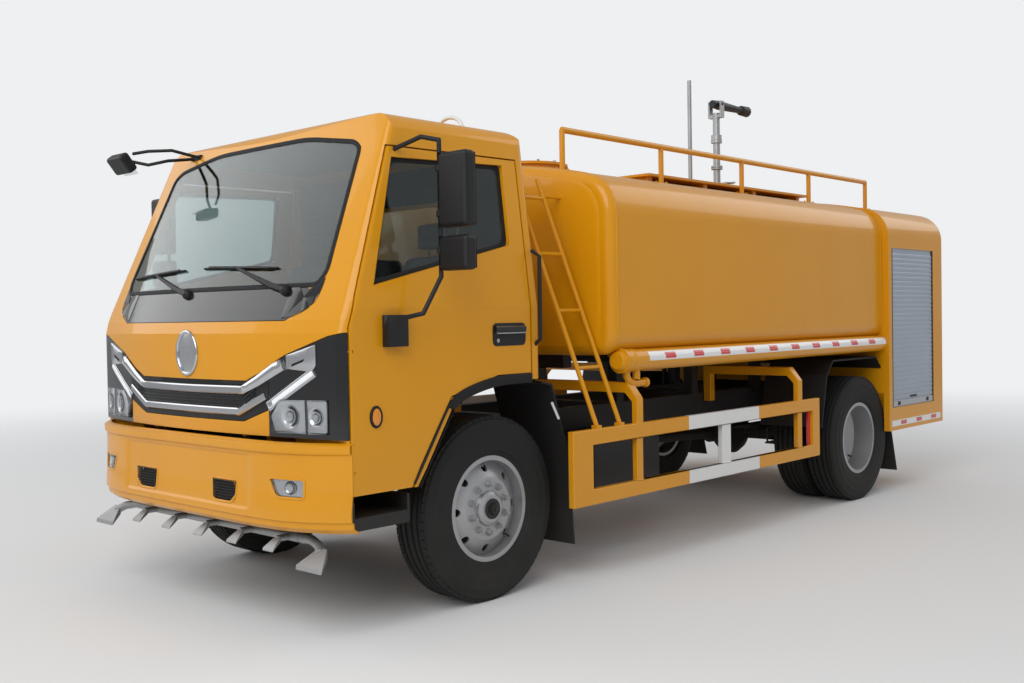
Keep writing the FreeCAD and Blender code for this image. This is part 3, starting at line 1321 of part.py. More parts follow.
door_core = cab_section("DoorCore", "cab_wall")
door_core_wide = cab_section("DoorCoreWide", "cab_wall + seam")
wall_slab = cut("WallSlab", cab_outer, [door_core])
door_ring = cut("DoorRing", door_hole_left, [door_core_wide])
door_hole_right = mirrored("DoorHoleR", door_ring)
door_fill = prism("DoorFill", "YZ_Plane", door_points, "cab_half - door_reach", "cab_half + cut_past")
window_hole = prism("WindowHole", "YZ_Plane", [
    ("window_fy", "window_fz"), ("window_ty", "window_tz"), ("window_ry", "window_rz"),
    ("window_by", "window_bz")], "cab_half - door_reach", "cab_half + cut_past")
door_panel = overlap("DoorPanel", [wall_slab, door_fill])
hinge_leaves = []
hinge_cuts = []
for spot in ("hinge_low", "hinge_up"):
    leaf = join("Leaf_" + spot, [
        box("LeafPlate_" + spot, ("cab_half - 85", "hinge_x"), ("door_seam_y - seam + 1", "hinge_y"),
            (spot, spot + " + hinge_leaf")),
        rod("LeafEye_" + spot, "hinge_eye", ("hinge_x", "hinge_y", spot), "hinge_leaf", "Z"),
        rod("LeafPin_" + spot, "hinge_pin", ("hinge_x", "hinge_y", spot + " - hinge_rise"),
            "hinge_leaf + 2 * hinge_rise", "Z")])
    hinge_leaves += [leaf, mirrored("LeafR_" + spot, leaf)]
    hinge_cuts.append(box("LeafSlot_" + spot, ("cab_half - 60", "cab_half + 5"),
                          ("door_seam_y - 5", "hinge_y + hinge_eye + 1"),
                          (spot + " - glass_gap", spot + " + hinge_leaf + glass_gap")))
    hinge_cuts.append(rod("PinBore_" + spot, "hinge_pin + pin_play",
                          ("hinge_x", "hinge_y", spot + " - hinge_rise - 2"),
                          "hinge_leaf + 2 * hinge_rise + 4", "Z"))
door_left = cut("DoorL", door_panel, [window_hole] + hinge_cuts)
pane_fill = prism("PaneFill", "YZ_Plane", [
    ("window_fy + glass_gap", "window_fz + glass_gap"), ("window_ty + glass_gap", "window_tz - glass_gap"),
    ("window_ry - glass_gap", "window_rz - glass_gap"), ("window_by - glass_gap", "window_bz + glass_gap")],
    "cab_half - door_reach", "cab_half + cut_past")
cab_thin = cab_solid("CabThin", inset="door_skin")
cab_thick = cab_solid("CabThick", inset="door_lining")
pane_wall = cut("PaneWall", cab_thin, [cab_thick])
door_pane = overlap("DoorPane", [pane_wall, pane_fill])

sizes({
    "rear_window_half": 520,
    "rear_window_low": 1600,
    "rear_window_high": 2080,
    "tunnel_top": 1170,
    "tunnel_cab_half": 455,
    "ear_in": 396,
    "ear_out": 416,
})
rear_hole = box("RearHole", ("0 - rear_window_half", "rear_window_half"),
                ("cab_rear - 80", "cab_rear + 10"),
                ("rear_window_low", "rear_window_high"))
rear_pane = box("RearPane", ("glass_gap - rear_window_half", "rear_window_half - glass_gap"),
                ("cab_rear - 26", "cab_rear - 20"),
                ("rear_window_low + glass_gap", "rear_window_high - glass_gap"))
engine_space = box("EngineSpace", ("0 - tunnel_cab_half", "tunnel_cab_half"),
                   ("nose_y + engine_room", "cab_rear + 10"),
                   ("cab_low - 20", "tunnel_top - 2 * tunnel_wall"))
engine_cover = box("EngineCover", ("0 - tunnel_cab_half - tunnel_wall", "tunnel_cab_half + tunnel_wall"),
                   ("nose_y + panel_deep + bow_low / 4", "cab_rear - 10"),
                   ("cab_front_low + 1", "tunnel_top"))
tunnel_sides = box("TunnelSides", ("0 - tunnel_cab_half - tunnel_wall", "tunnel_cab_half + tunnel_wall"),
                   ("nose_y + 145", "arch_a_y - 10"), ("cab_low + 1", "tunnel_top - 10"))
cab_ear = box("CabEarPlate", ("ear_in", "ear_out"), ("nose_y + 50", "pivot_y + 30"),
              ("pivot_z - 30", "pivot_z + 40"))
ear_bore = rod("EarBore", "pivot_radius + pin_play", ("0 - 500", "pivot_y", "pivot_z"), "1000", "X")
front_cut = overlap("FrontCut", [front_slab, front_hole])
cab_hollow = cut("CabHollow", cab_outer, [cab_inner, screen_hole, rear_hole, door_ring,
                                         door_hole_right, front_cut])
cab_tunnelled = cut("CabTunnelled", join("CabCovered", [cab_hollow, engine_cover, tunnel_sides]),
                    [engine_space])
node("cab_shell", cut("CabShell", join("CabWithEars", [
    cab_tunnelled, cab_ear, mirrored("CabEarR", cab_ear)] + hinge_leaves), [ear_bore]))
node("front_panels", group("FrontPanels", [overlap("FrontPanel", [front_slab, hood_fill]),
                                           overlap("LowerPanel", [front_slab, chin_fill])]))
node("screen_band", overlap("ScreenBand", [front_slab, band_fill]))
lamp_body = overlap("LampBody", [front_slab, lamp_fill])
node("lamp_housings", both_sides("LampHousings", lamp_body))
node("grille", overlap("Grille", [front_slab, grille_fill]))
node("cab_windows", group("CabWindows", [overlap("Windscreen", [pane_slab, screen_fill]), rear_pane]))
node("door_left", door_left)
node("door_right", mirrored("DoorRSide", door_left), y="0")
node("door_glass_left", door_pane)
node("door_glass_right", mirrored("PaneRSide", door_pane), y="0")

# Inside the cab: dashboard, steering wheel and seats
sizes({
    "dash_front": -1040,
    "dash_rear": -700,
    "dash_low": 1180,
    "dash_high": 1470,
    "seat_front": -420,
    "seat_rear": 60,
    "seat_low": 1170,
    "seat_high": 1340,
    "seat_back_rear": 230,
    "seat_back_high": 1960,
    "seat_in": 280,
    "seat_out": 780,
    "seat_mid_left": 220,
    "seat_mid_right": -240,
    "seat_overlap": 60,
    "steer_x": 520,
    "steer_y": -640,
    "steer_z": 1520,
    "steer_radius": 200,
    "steer_rim": 13,
    "steer_tilt": 30,
    "steer_boss": 40,
    "steer_boss_low": 1440,
    "steer_boss_high": 90,
    "steer_spoke": 12,
    "column_radius": 22,
    "column_end_y": -800,
    "column_end_z": 1250,
})
dash_prism = prism("DashPrism", "YZ_Plane", [
    ("dash_front", "dash_low"), ("dash_rear - 80", "dash_low"), ("dash_rear", "dash_low + 120"),
    ("dash_rear - 40", "dash_high - 40"), ("dash_rear - 150", "dash_high"),
    ("dash_front", "dash_high - 20")],
    "60 - cab_half + cab_wall", "cab_half - cab_wall - 60")
dash_room = cab_solid("DashRoom", inset="cab_wall + 12", floor="cab_wall", nose="nose_wall + glass_gap")
dash = overlap("Dash", [dash_prism, dash_room])
node("dashboard", group("DashPiece", [dash]))
seat_parts = []
for index, ends in enumerate((("seat_in", "seat_out"), ("seat_mid_right", "seat_mid_left"),
                              ("0 - seat_out", "0 - seat_in"))):
    seat_parts.append(join("Seat%d" % index, [
        box("SeatPad%d" % index, ends, ("seat_front", "seat_rear + seat_overlap"),
            ("seat_low", "seat_high")),
        box("SeatBack%d" % index, ends, ("seat_rear", "seat_back_rear"),
            ("seat_low + seat_overlap", "seat_back_high"))]))
node("seats", group("Seats", seat_parts))
wheel_ring = doc.addObject("Part::Torus", "WheelRing")
wheel_ring.setExpression("Radius1", bound("steer_radius"))
wheel_ring.setExpression("Radius2", bound("steer_rim"))
wheel_ring.Placement = Placement(Vector(0, 0, 0), Rotation(AXIS_X, val("steer_tilt")))
place(wheel_ring, "steer_x", "steer_y", "steer_z")
wheel_boss = rod("WheelBoss", "steer_boss", ("steer_x", "steer_y", "steer_boss_low"), "steer_boss_high",
                 "Z")
spokes = box("WheelSpokes", ("steer_x - steer_radius + steer_rim / 2",
                             "steer_x + steer_radius - steer_rim / 2"),
             ("steer_y - steer_spoke", "steer_y + steer_spoke"),
             ("steer_z - steer_spoke", "steer_z + steer_spoke"))
column = slanted("WheelColumn", val("column_radius"),
                 Vector(val("steer_x"), val("steer_y"), val("steer_z") - val("column_radius")),
                 Vector(val("steer_x"), val("column_end_y"), val("column_end_z")))
node("steering_wheel", cut("SteeringWheel",
                           join("SteeringJoined", [wheel_ring, spokes, wheel_boss, column]),
                           [dash]))

# Bumper, its inserts and the spray bar under it
sizes({
    "bumper_front": -1150,
    "bumper_low": 495,
    "bumper_high": 900,
    "bumper_skin": 34,
    "bumper_half": 1092,
    "bumper_side_y": -960,
    "bar_half": 900,
    "bar_front": -1005,
    "bar_rear": -970,
    "intake_in": 262,
    "intake_out": 455,
    "intake_low": 600,
    "intake_high": 700,
    "fog_in": 700,
    "fog_out": 900,
    "fog_low": 655,
    "fog_high": 735,
    "plate_hole": 3.5,
    "plate_wide": 390,
    "plate_tall": 110,
    "plate_z": 800,
})


def swept(name, out, low, high):
    """Bumper's plan shape, drawn in by out, closed at the back."""
    o = "(%s)" % out
    points = [
        ("bumper_half - %s" % o, "bumper_side_y + %s" % "0"),
        ("1000 - %s / 2" % o, "bumper_front + 97 + %s" % o),
        ("820", "bumper_front + 40 + %s" % o),
        ("450", "bumper_front + %s" % o),
    ]
    other = [("0 - (%s)" % across, up) for across, up in reversed(points)]
    return prism(name, "XY_Plane", points + other, low, high)


bumper_solid = swept("BumperSolid", "0", "bumper_low", "bumper_high")
bumper_room = swept("BumperRoom", "bumper_skin", "bumper_low - 10", "bumper_high + 10")
place(bumper_room, "0", "1", "0")
slots = []
for side, sign in (("L", ""), ("R", "0 - ")):
    for kind in ("intake", "fog"):
        ends = ("%s_in" % kind, "%s_out" % kind)
        if sign:
            ends = ("0 - %s_out" % kind, "0 - %s_in" % kind)
        slots.append(box("Slot%s%s" % (kind, side), ends, ("bumper_front - cut_past", "bumper_front + 160"),
                         ("%s_low" % kind, "%s_high" % kind)))
bumper_bar = box("BumperBar", ("0 - bar_half", "bar_half"), ("bar_front", "bar_rear"),
                 ("rail_low + 20", "rail_high - 60"))
bar_links = [box("BarLink%d" % index, ends, ("bar_rear - 5", "rail_front"),
                 ("rail_low + 20", "rail_high - 60"))
             for index, ends in enumerate((("rail_outer - rail_wide", "rail_outer"),
                                           ("0 - rail_outer", "rail_wide - rail_outer")))]
stays = [box("BumperStay%d" % index, ends, ("bumper_front + 20", "bar_front + 10"),
             ("rail_low + 40", "rail_low + 80"))
         for index, ends in enumerate((("540", "580"), ("0 - 580", "0 - 540")))]
plate_holes = [rod("PlateHole%d" % index, "plate_hole", (across, "bumper_front - cut_past", up), "cut_past + 60",
                   "Y")
               for index, (across, up) in enumerate((
                   ("plate_wide / 2", "plate_z + plate_tall / 2"),
                   ("0 - plate_wide / 2", "plate_z + plate_tall / 2"),
                   ("plate_wide / 2", "plate_z - plate_tall / 2"),
                   ("0 - plate_wide / 2", "plate_z - plate_tall / 2")))]
bumper_skin_cut = cut("BumperSkin", bumper_solid, [bumper_room] + slots + plate_holes)
node("front_bumper", join("Bumper", [bumper_skin_cut, bumper_bar] + bar_links + stays))
inserts = []
for index, kind in enumerate(("intake", "fog")):
    part_in = box("Insert%s" % kind, ("%s_in + glass_gap" % kind, "%s_out - glass_gap" % kind),
                  ("bumper_front + 14", "bumper_front + 150"),
                  ("%s_low + glass_gap" % kind, "%s_high - glass_gap" % kind))
    core = overlap("InsertCore%s" % kind, [part_in, cut("BumperBand%s" % kind, swept(
        "InsertOuter%s" % kind, "8", "bumper_low", "bumper_high"), [swept(
            "InsertInner%s" % kind, "30", "bumper_low - 5", "bumper_high + 5")])])
    inserts.append(core)
node("bumper_grilles", both_sides("Grilles", inserts[0]))
node("fog_lamps", both_sides("FogLamps", inserts[1]))
sizes({
    "spray_end": 720,
    "spray_feed": 16,
    "spray_y": -960,
    "spray_z": 440,
    "spray_radius": 24,
    "spray_stay_x": 402,
    "spray_stay": 24,
    "nozzle_radius": 16,
    "nozzle_reach": 90,
    "nozzle_first": 650,
    "nozzle_step": 300,
    "nozzles": 5,
    "feed_deep": 60,
})
spray_pipe = rod("SprayPipe", "spray_radius", ("0 - spray_end", "spray_y", "spray_z"), "2 * spray_end", "X")
spray_stays = [box("SprayStay%d" % index, ("%s - spray_stay / 2" % at, "%s + spray_stay / 2" % at),
                   ("spray_y - spray_stay / 2", "spray_y + spray_stay / 2"),
                   ("spray_z + 15", "rail_low + 20"))
               for index, at in enumerate(("spray_stay_x", "0 - spray_stay_x"))]
nozzle_bars = [rod("SprayNozzle%d" % index, "nozzle_radius",
                   ("nozzle_first - %d * nozzle_step" % index, "spray_y - nozzle_reach", "spray_z"),
                   "nozzle_reach", "Y")
               for index in range(int(val("nozzles")))]
spray_bore = rod("SprayBore", "spray_feed", ("spray_end - feed_deep", "spray_y", "spray_z"),
                 "feed_deep + 10", "X")
node("spray_bar", cut("SprayBar", join("SprayJoined", [spray_pipe] + spray_stays + nozzle_bars),
                      [spray_bore]))

# Door mirrors on their bent tubes
sizes({
    "mirror_tube": 11,
    "mirror_x": 1200,
    "mirror_y": -490,
    "mirror_in": 1208,
    "mirror_out": 1385,
    "mirror_mid_y": -470,
    "mirror_deep": 75,
    "mirror_root_x": 968,
    "mirror_root_y": -590,
    "mirror_root_z": 2235,
    "mirror_bow_x": 1120,
    "mirror_bow_y": -530,
    "mirror_bow_z": 2290,
    "mirror_top_z": 2270,
    "mirror_foot_z": 1640,
    "mirror_bend_x": 1170,
    "mirror_bend_y": -580,
    "mirror_bend_z": 1470,
    "mirror_end_x": 1092,
    "mirror_end_y": -690,
    "mirror_end_z": 1440,
    "mirror_base_out": 1128,
    "mirror_base_front": -755,
    "mirror_base_rear": -635,
    "mirror_base_low": 1320,
    "mirror_base_high": 1465,
    "mirror_up_low": 1865,
    "mirror_up_high": 2210,
    "mirror_down_low": 1665,
    "mirror_down_high": 1825,
})


def bent_tube(name, radius, points):
    """Round tube along straight runs with ball joints at its bends."""
    runs = []
    for index, (start, end) in enumerate(zip(points, points[1:])):
        runs.append(slanted("%s_run_%d" % (name, index), radius, Vector(*start), Vector(*end)))
        if index:
            ball = doc.addObject("Part::Feature", "%s_bend_%d" % (name, index))
            ball.Shape = Part.makeSphere(radius, Vector(*start))
            runs.append(ball)
    return runs


def spot_of(across, back, up):
    """Point from three size names."""
    return (val(across), val(back), val(up))


mirror_points = [
    spot_of("mirror_root_x", "mirror_root_y", "mirror_root_z"),
    spot_of("mirror_bow_x", "mirror_bow_y", "mirror_bow_z"),
    spot_of("mirror_x", "mirror_y", "mirror_top_z"), spot_of("mirror_x", "mirror_y", "mirror_foot_z"),
    spot_of("mirror_bend_x", "mirror_bend_y", "mirror_bend_z"),
    spot_of("mirror_end_x", "mirror_end_y", "mirror_end_z")]
mirror_span = ("mirror_mid_y - mirror_deep / 2", "mirror_mid_y + mirror_deep / 2")
mirror_joined = join("MirrorJoined", bent_tube("MirrorTube", val("mirror_tube"), mirror_points) + [
    box("MirrorBase", ("cab_half - 15", "mirror_base_out"), ("mirror_base_front", "mirror_base_rear"),
        ("mirror_base_low", "mirror_base_high")),
    box("MirrorUpper", ("mirror_in - 8", "mirror_out"), mirror_span, ("mirror_up_low", "mirror_up_high")),
    box("MirrorLower", ("mirror_in - 8", "mirror_out"), mirror_span,
        ("mirror_down_low", "mirror_down_high"))])
mirror_solid = cut("MirrorL", mirror_joined, [cab_outer])
node("mirror_left", mirror_solid)
node("mirror_right", mirrored("MirrorR", mirror_solid), y="0")

# Chrome bars and lenses set into the front
sizes({
    "trim_proud": 5,
    "lens_in": 675,
    "lens_split": 869,
    "lens_out": 990,
    "lens_low": 940,
    "lens_high": 1085,
    "lens_gap": 7,
    "day_in": 760,
    "day_out": 925,
    "day_low": 1228,
    "day_high": 1330,
    "day_in_high": 1285,
    "strip_in": 650,
    "strip_low": 1045,
    "strip_end_low": 1180,
    "strip_wide": 38,
})
cab_proud = cab_solid("CabProud", back="0 - trim_proud")
proud_slab = cut("ProudSlab", cab_proud, [cab_outer])
node("chrome_bars", overlap("ChromeBars", [proud_slab, seen_from_front("ChromeShape", even([
    ("hood_low_half - 40", "chin_high + 28"), ("chin_half - 30", "chin_high + 84"),
    ("chin_half - 30", "chin_high + 120"), ("hood_low_half - 60", "chin_high + 62")]))]))
lens_shapes = [
    seen_from_front("LensMain", [
        ("lens_in", "lens_low"), ("lens_split - lens_gap / 2", "lens_low"),
        ("lens_split - lens_gap / 2", "lens_high"), ("lens_in", "lens_high")]),
    seen_from_front("LensTurn", [
        ("lens_split + lens_gap / 2", "lens_low"), ("lens_out", "lens_low"),
        ("lens_out", "lens_high"), ("lens_split + lens_gap / 2", "lens_high")]),
    seen_from_front("LensDay", [
        ("day_in", "day_low"), ("day_out", "day_low"), ("day_out", "day_high"), ("day_in", "day_in_high")]),
    seen_from_front("LensStrip", [
        ("strip_in", "strip_low"), ("day_out", "strip_end_low"), ("day_out", "strip_end_low + strip_wide"),
        ("strip_in", "strip_low + strip_wide")])]
lens_half = group("LensHalf", [overlap("Lens%d" % index, [proud_slab, shape])
                               for index, shape in enumerate(lens_shapes)])
node("headlamp_lenses", both_sides("Lenses", lens_half))

# Mudguards, steps and rear lamps
sizes({
    "fender_in": 640,
    "fender_out": 1140,
    "fender_thick": 12,
    "fender_front_y": 3330,
    "fender_front_z": 600,
    "fender_low_y": 3420,
    "fender_low_z": 980,
    "fender_top_y": 3520,
    "fender_top_z": 1085,
    "fender_tail_y": 4240,
    "fender_end_y": 4330,
    "fender_end_z": 1000,
    "fender_hang_y": 3600,
    "fender_hang": 40,
    "flap_top_y": 345,
    "flap_top_z": 1105,
    "flap_bend_y": 430,
    "flap_bend_z": 1085,
    "flap_low_y": 560,
    "flap_low_z": 700,
    "flap_end_y": 600,
    "flap_end_z": 200,
    "flap_stay_y": 500,
    "flap_stay": 30,
})
rear_guard = prism("RearGuardL", "YZ_Plane", [
    ("fender_front_y", "fender_front_z"), ("fender_low_y", "fender_low_z"),
    ("fender_top_y", "fender_top_z"),
    ("fender_tail_y", "fender_top_z"), ("fender_end_y", "fender_end_z"),
    ("fender_end_y", "fender_end_z - fender_thick"), ("fender_tail_y - 4", "fender_top_z - fender_thick"),
    ("fender_top_y + 5", "fender_top_z - fender_thick"),
    ("fender_low_y + fender_thick", "fender_low_z - 4"),
    ("fender_front_y + fender_thick", "fender_front_z - 2")], "fender_in", "fender_out")
front_guard = prism("FrontGuardL", "YZ_Plane", [
    ("flap_top_y", "flap_top_z"), ("flap_bend_y", "flap_bend_z"), ("flap_low_y", "flap_low_z"),
    ("flap_end_y", "flap_end_z"), ("flap_end_y - fender_thick", "flap_end_z"),
    ("flap_low_y - fender_thick", "flap_low_z - 2"), ("flap_bend_y - 9", "flap_bend_z - 11"),
    ("flap_top_y", "flap_top_z - fender_thick")], "fender_in", "cab_half - 10")
guard_stay = box("FrontGuardStay", ("rail_outer", "fender_in + flap_stay"),
                 ("flap_stay_y", "flap_low_y - fender_thick"), ("flap_low_z", "flap_low_z + flap_stay"))
guard_hanger = box("RearGuardHanger", ("rail_outer", "fender_in + fender_hang"),
                   ("fender_hang_y", "fender_hang_y + fender_hang"),
                   ("fender_top_z - 35", "fender_top_z - 5"))
guard_post_up = box("RearGuardPost", ("rail_outer", "rail_outer + fender_hang / 2"),
                    ("fender_hang_y", "fender_hang_y + fender_hang"),
                    ("rail_high - fender_hang", "fender_top_z - 5"))
node("mudguards", group("Mudguards", [
    both_sides("FrontGuards", join("FrontGuard", [front_guard, guard_stay])),
    both_sides("RearGuards", join("RearGuard", [rear_guard, guard_hanger, guard_post_up]))]))
sizes({
    "step_in": 700,
    "step_out": 1075,
    "step_front": -940,
    "step_rear": -600,
    "step_low": 500,
    "step_high": 560,
    "step_well_high": 636,
    "step_wall": 14,
    "step_arm": 50,
})
step_tray = cut("StepTray", box("StepBlock", ("step_in", "step_out"), ("step_front", "step_rear"),
                                ("step_low", "step_well_high")),
                [box("StepWell", ("step_in + step_wall", "step_out + 5"),
                     ("step_front + step_wall", "step_rear - step_wall"),
                     ("step_high", "step_well_high + 5"))])
step_arms = [box("StepArm_" + end, ("rail_outer", "step_in + step_wall"), span,
                 ("step_low + 10", "step_high - 10"))
             for end, span in (("front", ("step_front + 20", "step_front + 20 + step_arm")),
                               ("rear", ("step_rear - 20 - step_arm", "step_rear - 20")))]
step_drops = [box("StepDrop_" + end, ("rail_outer", "rail_outer + 12"), span,
                  ("step_low + 10", "rail_low + 60"))
              for end, span in (("front", ("step_front + 20", "step_front + 20 + step_arm")),
                                ("rear", ("step_rear - 20 - step_arm", "step_rear - 20")))]
node("cab_steps", both_sides("Steps", join("Step", [step_tray] + step_arms + step_drops)))
node("rear_lamps", both_sides("RearLamps", box("RearLampL", ("rear_lamp_in", "rear_lamp_out"),
                                               ("bay_rear - rear_lamp_deep", "bay_rear"),
                                               ("rear_lamp_low", "rear_lamp_high"))))

doc.recompute()


def finish():
    """Check every object and write each node's file."""
    for item in doc.Objects:
        bad = [word for word in item.State if word in ("Invalid", "Error")]
        if bad:
            raise RuntimeError("%s is not built: %s" % (item.Name, item.State))
    for item in NODES:
        shape = item.Shape
        if shape.isNull() or not shape.isValid() or not shape.Solids:
            raise RuntimeError("%s has no valid solid" % item.Label)
        shape.exportStep("parts/%s.step" % item.Label)
    print("nodes", len(NODES))


finish()
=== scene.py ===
# %% [markdown]
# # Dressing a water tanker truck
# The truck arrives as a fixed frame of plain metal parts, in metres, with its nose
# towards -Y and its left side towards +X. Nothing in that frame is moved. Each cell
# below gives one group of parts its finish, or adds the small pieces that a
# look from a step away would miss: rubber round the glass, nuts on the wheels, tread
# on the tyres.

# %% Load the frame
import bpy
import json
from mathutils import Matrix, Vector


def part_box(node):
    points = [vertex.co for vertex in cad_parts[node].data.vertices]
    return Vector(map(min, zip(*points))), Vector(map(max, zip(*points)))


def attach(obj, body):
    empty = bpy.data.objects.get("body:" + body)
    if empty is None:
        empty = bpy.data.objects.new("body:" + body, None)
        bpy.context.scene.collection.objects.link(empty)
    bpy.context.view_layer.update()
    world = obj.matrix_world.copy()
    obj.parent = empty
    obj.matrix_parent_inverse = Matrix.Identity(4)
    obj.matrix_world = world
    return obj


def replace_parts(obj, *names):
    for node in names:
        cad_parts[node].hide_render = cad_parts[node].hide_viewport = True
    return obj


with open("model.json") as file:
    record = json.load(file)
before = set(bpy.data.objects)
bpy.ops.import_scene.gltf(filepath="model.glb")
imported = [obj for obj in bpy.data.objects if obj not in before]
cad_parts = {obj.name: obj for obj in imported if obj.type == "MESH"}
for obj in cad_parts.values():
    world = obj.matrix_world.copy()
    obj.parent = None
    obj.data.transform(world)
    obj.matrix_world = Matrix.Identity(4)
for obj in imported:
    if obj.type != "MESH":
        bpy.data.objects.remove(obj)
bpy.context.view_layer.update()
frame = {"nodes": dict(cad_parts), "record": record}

import json
import math

import bmesh
import bpy
from mathutils import Matrix, Vector
from mathutils.bvhtree import BVHTree

nodes, record = frame["nodes"], frame["record"]
body_of = {node: body for body, members in record["behaviour"]["bodies"].items() for node in members}
sides = (("left", 1), ("right", -1))

# %% [markdown]
# Shaders and Geometry Nodes are both trees of nodes. Three helpers build them: one
# starts a group with named sockets, one adds a node with its settings, and one feeds
# its inputs. An input takes a plain value, or a link from another node's socket. The
# last three are shortcuts for nodes that recur: arithmetic, a mix of colours, a noise.

# %% Building node trees
def new_group(name, kind, inputs, outputs):
    """Node group with named sockets, what it is given, and its end."""
    group = bpy.data.node_groups.new(name, kind)
    for label, socket_kind, *value in inputs:
        socket = group.interface.new_socket(label, in_out="INPUT",
                                            socket_type="NodeSocket" + socket_kind)
        if value:
            socket.default_value = value[0]
    for label, socket_kind in outputs:
        group.interface.new_socket(label, in_out="OUTPUT", socket_type="NodeSocket" + socket_kind)
    return group, group.nodes.new("NodeGroupInput").outputs, group.nodes.new("NodeGroupOutput")


def feed(tree, node, values):
    """Give a node's inputs plain values or links."""
    for place, value in values.items():
        if isinstance(value, bpy.types.NodeSocket):
            tree.links.new(value, node.inputs[place])
        else:
            node.inputs[place].default_value = value
    return node


def add(tree, kind, values=None, **settings):
    """New node with its settings and its inputs."""
    node = tree.nodes.new(kind)
    for name, value in settings.items():
        setattr(node, name, value)
    return feed(tree, node, values or {})


def math_of(tree, operation, first, second):
    """Result of a Math node."""
    return add(tree, "ShaderNodeMath", {0: first, 1: second}, operation=operation).outputs[0]


def mix_of(tree, factor, first, second):
    """Mix of two colours by a mask."""
    return add(tree, "ShaderNodeMix", {0: factor, 6: first, 7: second}, data_type="RGBA").outputs[2]


def noise_of(tree, place, scale, detail):
    """Noise texture's value at a place."""
    return add(tree, "ShaderNodeTexNoise",
               {"Vector": place, "Scale": scale, "Detail": detail}).outputs["Fac"]


print("node helpers ready")

# %% [markdown]
# Real surfaces are never one flat colour. Two effects are shared by nearly every
# finish here, so each is a shader node group that is built once. Grain gives a slow
# drift of colour and a fine height for the bump. Road film is the dust that the
# wheels throw up: it is strongest near the ground and broken up by noise. Both read
# Object coordinates, which are metres in the truck's frame, so the film's height is
# the same on every piece. They put out only colours and values, and the shader
# itself stays in each material.

# %% Shader groups: grain and road film
grain, given, end = new_group(
    "surface_grain", "ShaderNodeTree",
    [("Place", "Vector", (0, 0, 0)), ("Stretch", "Vector", (1, 1, 1)), ("Colour", "Color", (1, 1, 1, 1)),
     ("Scale", "Float", 300.0), ("Tint", "Float", 0.1)],
    [("Colour", "Color"), ("Height", "Float")])
pulled = add(grain, "ShaderNodeVectorMath", {0: given["Place"], 1: given["Stretch"]},
             operation="MULTIPLY")
cloud = noise_of(grain, given["Place"], 2.6, 5.0)
darker = mix_of(grain, 0.75, given["Colour"], (0.0, 0.0, 0.0, 1.0))
shade = math_of(grain, "MULTIPLY", cloud, given["Tint"])
feed(grain, end, {"Height": noise_of(grain, pulled.outputs[0], given["Scale"], 2.0),
                  "Colour": mix_of(grain, shade, given["Colour"], darker)})

film, given, end = new_group(
    "road_film", "ShaderNodeTree",
    [("Place", "Vector", (0, 0, 0)), ("Colour", "Color", (1, 1, 1, 1)), ("Roughness", "Float", 0.5),
     ("Dust", "Color", (0.30, 0.26, 0.21, 1)), ("Top", "Float", 1.1), ("Amount", "Float", 0.3)],
    [("Colour", "Color"), ("Roughness", "Float")])
above_road = add(film, "ShaderNodeSeparateXYZ", {0: given["Place"]}).outputs["Z"]
low = math_of(film, "SUBTRACT", 1.0, math_of(film, "DIVIDE", above_road, given["Top"]))
patchy = math_of(film, "ADD", 0.25, noise_of(film, given["Place"], 6.0, 6.0))
mask = math_of(film, "MULTIPLY", math_of(film, "MAXIMUM", low, 0.0), patchy)
mask = math_of(film, "MINIMUM", math_of(film, "MULTIPLY", mask, given["Amount"]), 0.9)
duller = math_of(film, "MULTIPLY", mask, 0.5)
feed(film, end, {"Colour": mix_of(film, mask, given["Colour"], given["Dust"]),
                 "Roughness": math_of(film, "ADD", given["Roughness"], duller)})
print("shader groups", [group.name for group in bpy.data.node_groups])

# %% [markdown]
# A finish is one Principled shader fed by the two groups. Its plain numbers, such as
# metal or coat, sit on the shader's own sockets. The truck's paint is a warm amber
# under a clear coat, so its highlights are sharp while the colour below stays
# soft. Moulded plastic gets a coarse grain, and aluminium a grain that is pulled out
# along the truck, as rolled sheet has. The side guard's white stretch is painted by
# its place along the truck.

# %% Finishes
finishes = {}


def finish(name, colour, rough, metal=0.0, coat=0.0, grain_scale=350.0, bump=0.12, tint=0.25,
           stretch=(1, 1, 1), dust=0.3, dust_top=1.1, clear=0.0, glow=0.0, shine=0.5, stripe=None):
    """Material with grain and road film under one Principled shader."""
    material = bpy.data.materials.new(name)
    material.use_nodes = True
    tree = material.node_tree
    shader = tree.nodes["Principled BSDF"]
    place = tree.nodes.new("ShaderNodeTexCoord").outputs["Object"]
    texture = add(tree, "ShaderNodeGroup", {"Place": place, "Stretch": stretch, "Colour": (*colour, 1),
                                            "Scale": grain_scale, "Tint": tint}, node_tree=grain).outputs
    coloured = texture["Colour"]
    if stripe:
        start, stop, top, stripe_colour = stripe
        axes = add(tree, "ShaderNodeSeparateXYZ", {0: place}).outputs
        inside = math_of(tree, "MULTIPLY", math_of(tree, "GREATER_THAN", axes["Y"], start),
                        math_of(tree, "LESS_THAN", axes["Y"], stop))
        inside = math_of(tree, "MULTIPLY", inside, math_of(tree, "LESS_THAN", axes["Z"], top))
        coloured = mix_of(tree, inside, coloured, (*stripe_colour, 1))
    dirt = add(tree, "ShaderNodeGroup", {"Place": place, "Colour": coloured, "Roughness": rough,
                                         "Top": dust_top, "Amount": dust}, node_tree=film).outputs
    relief = add(tree, "ShaderNodeBump",
                 {"Strength": bump, "Distance": 0.0006, "Height": texture["Height"]})
    feed(tree, shader, {"Base Color": dirt["Colour"], "Roughness": dirt["Roughness"],
                        "Normal": relief.outputs["Normal"], "Metallic": metal, "Coat Weight": coat,
                        "Coat Roughness": 0.05, "Specular IOR Level": shine,
                        "Transmission Weight": clear, "IOR": 1.45})
    if glow:
        feed(tree, shader, {"Emission Color": (*colour, 1), "Emission Strength": glow})
    finishes[name] = material


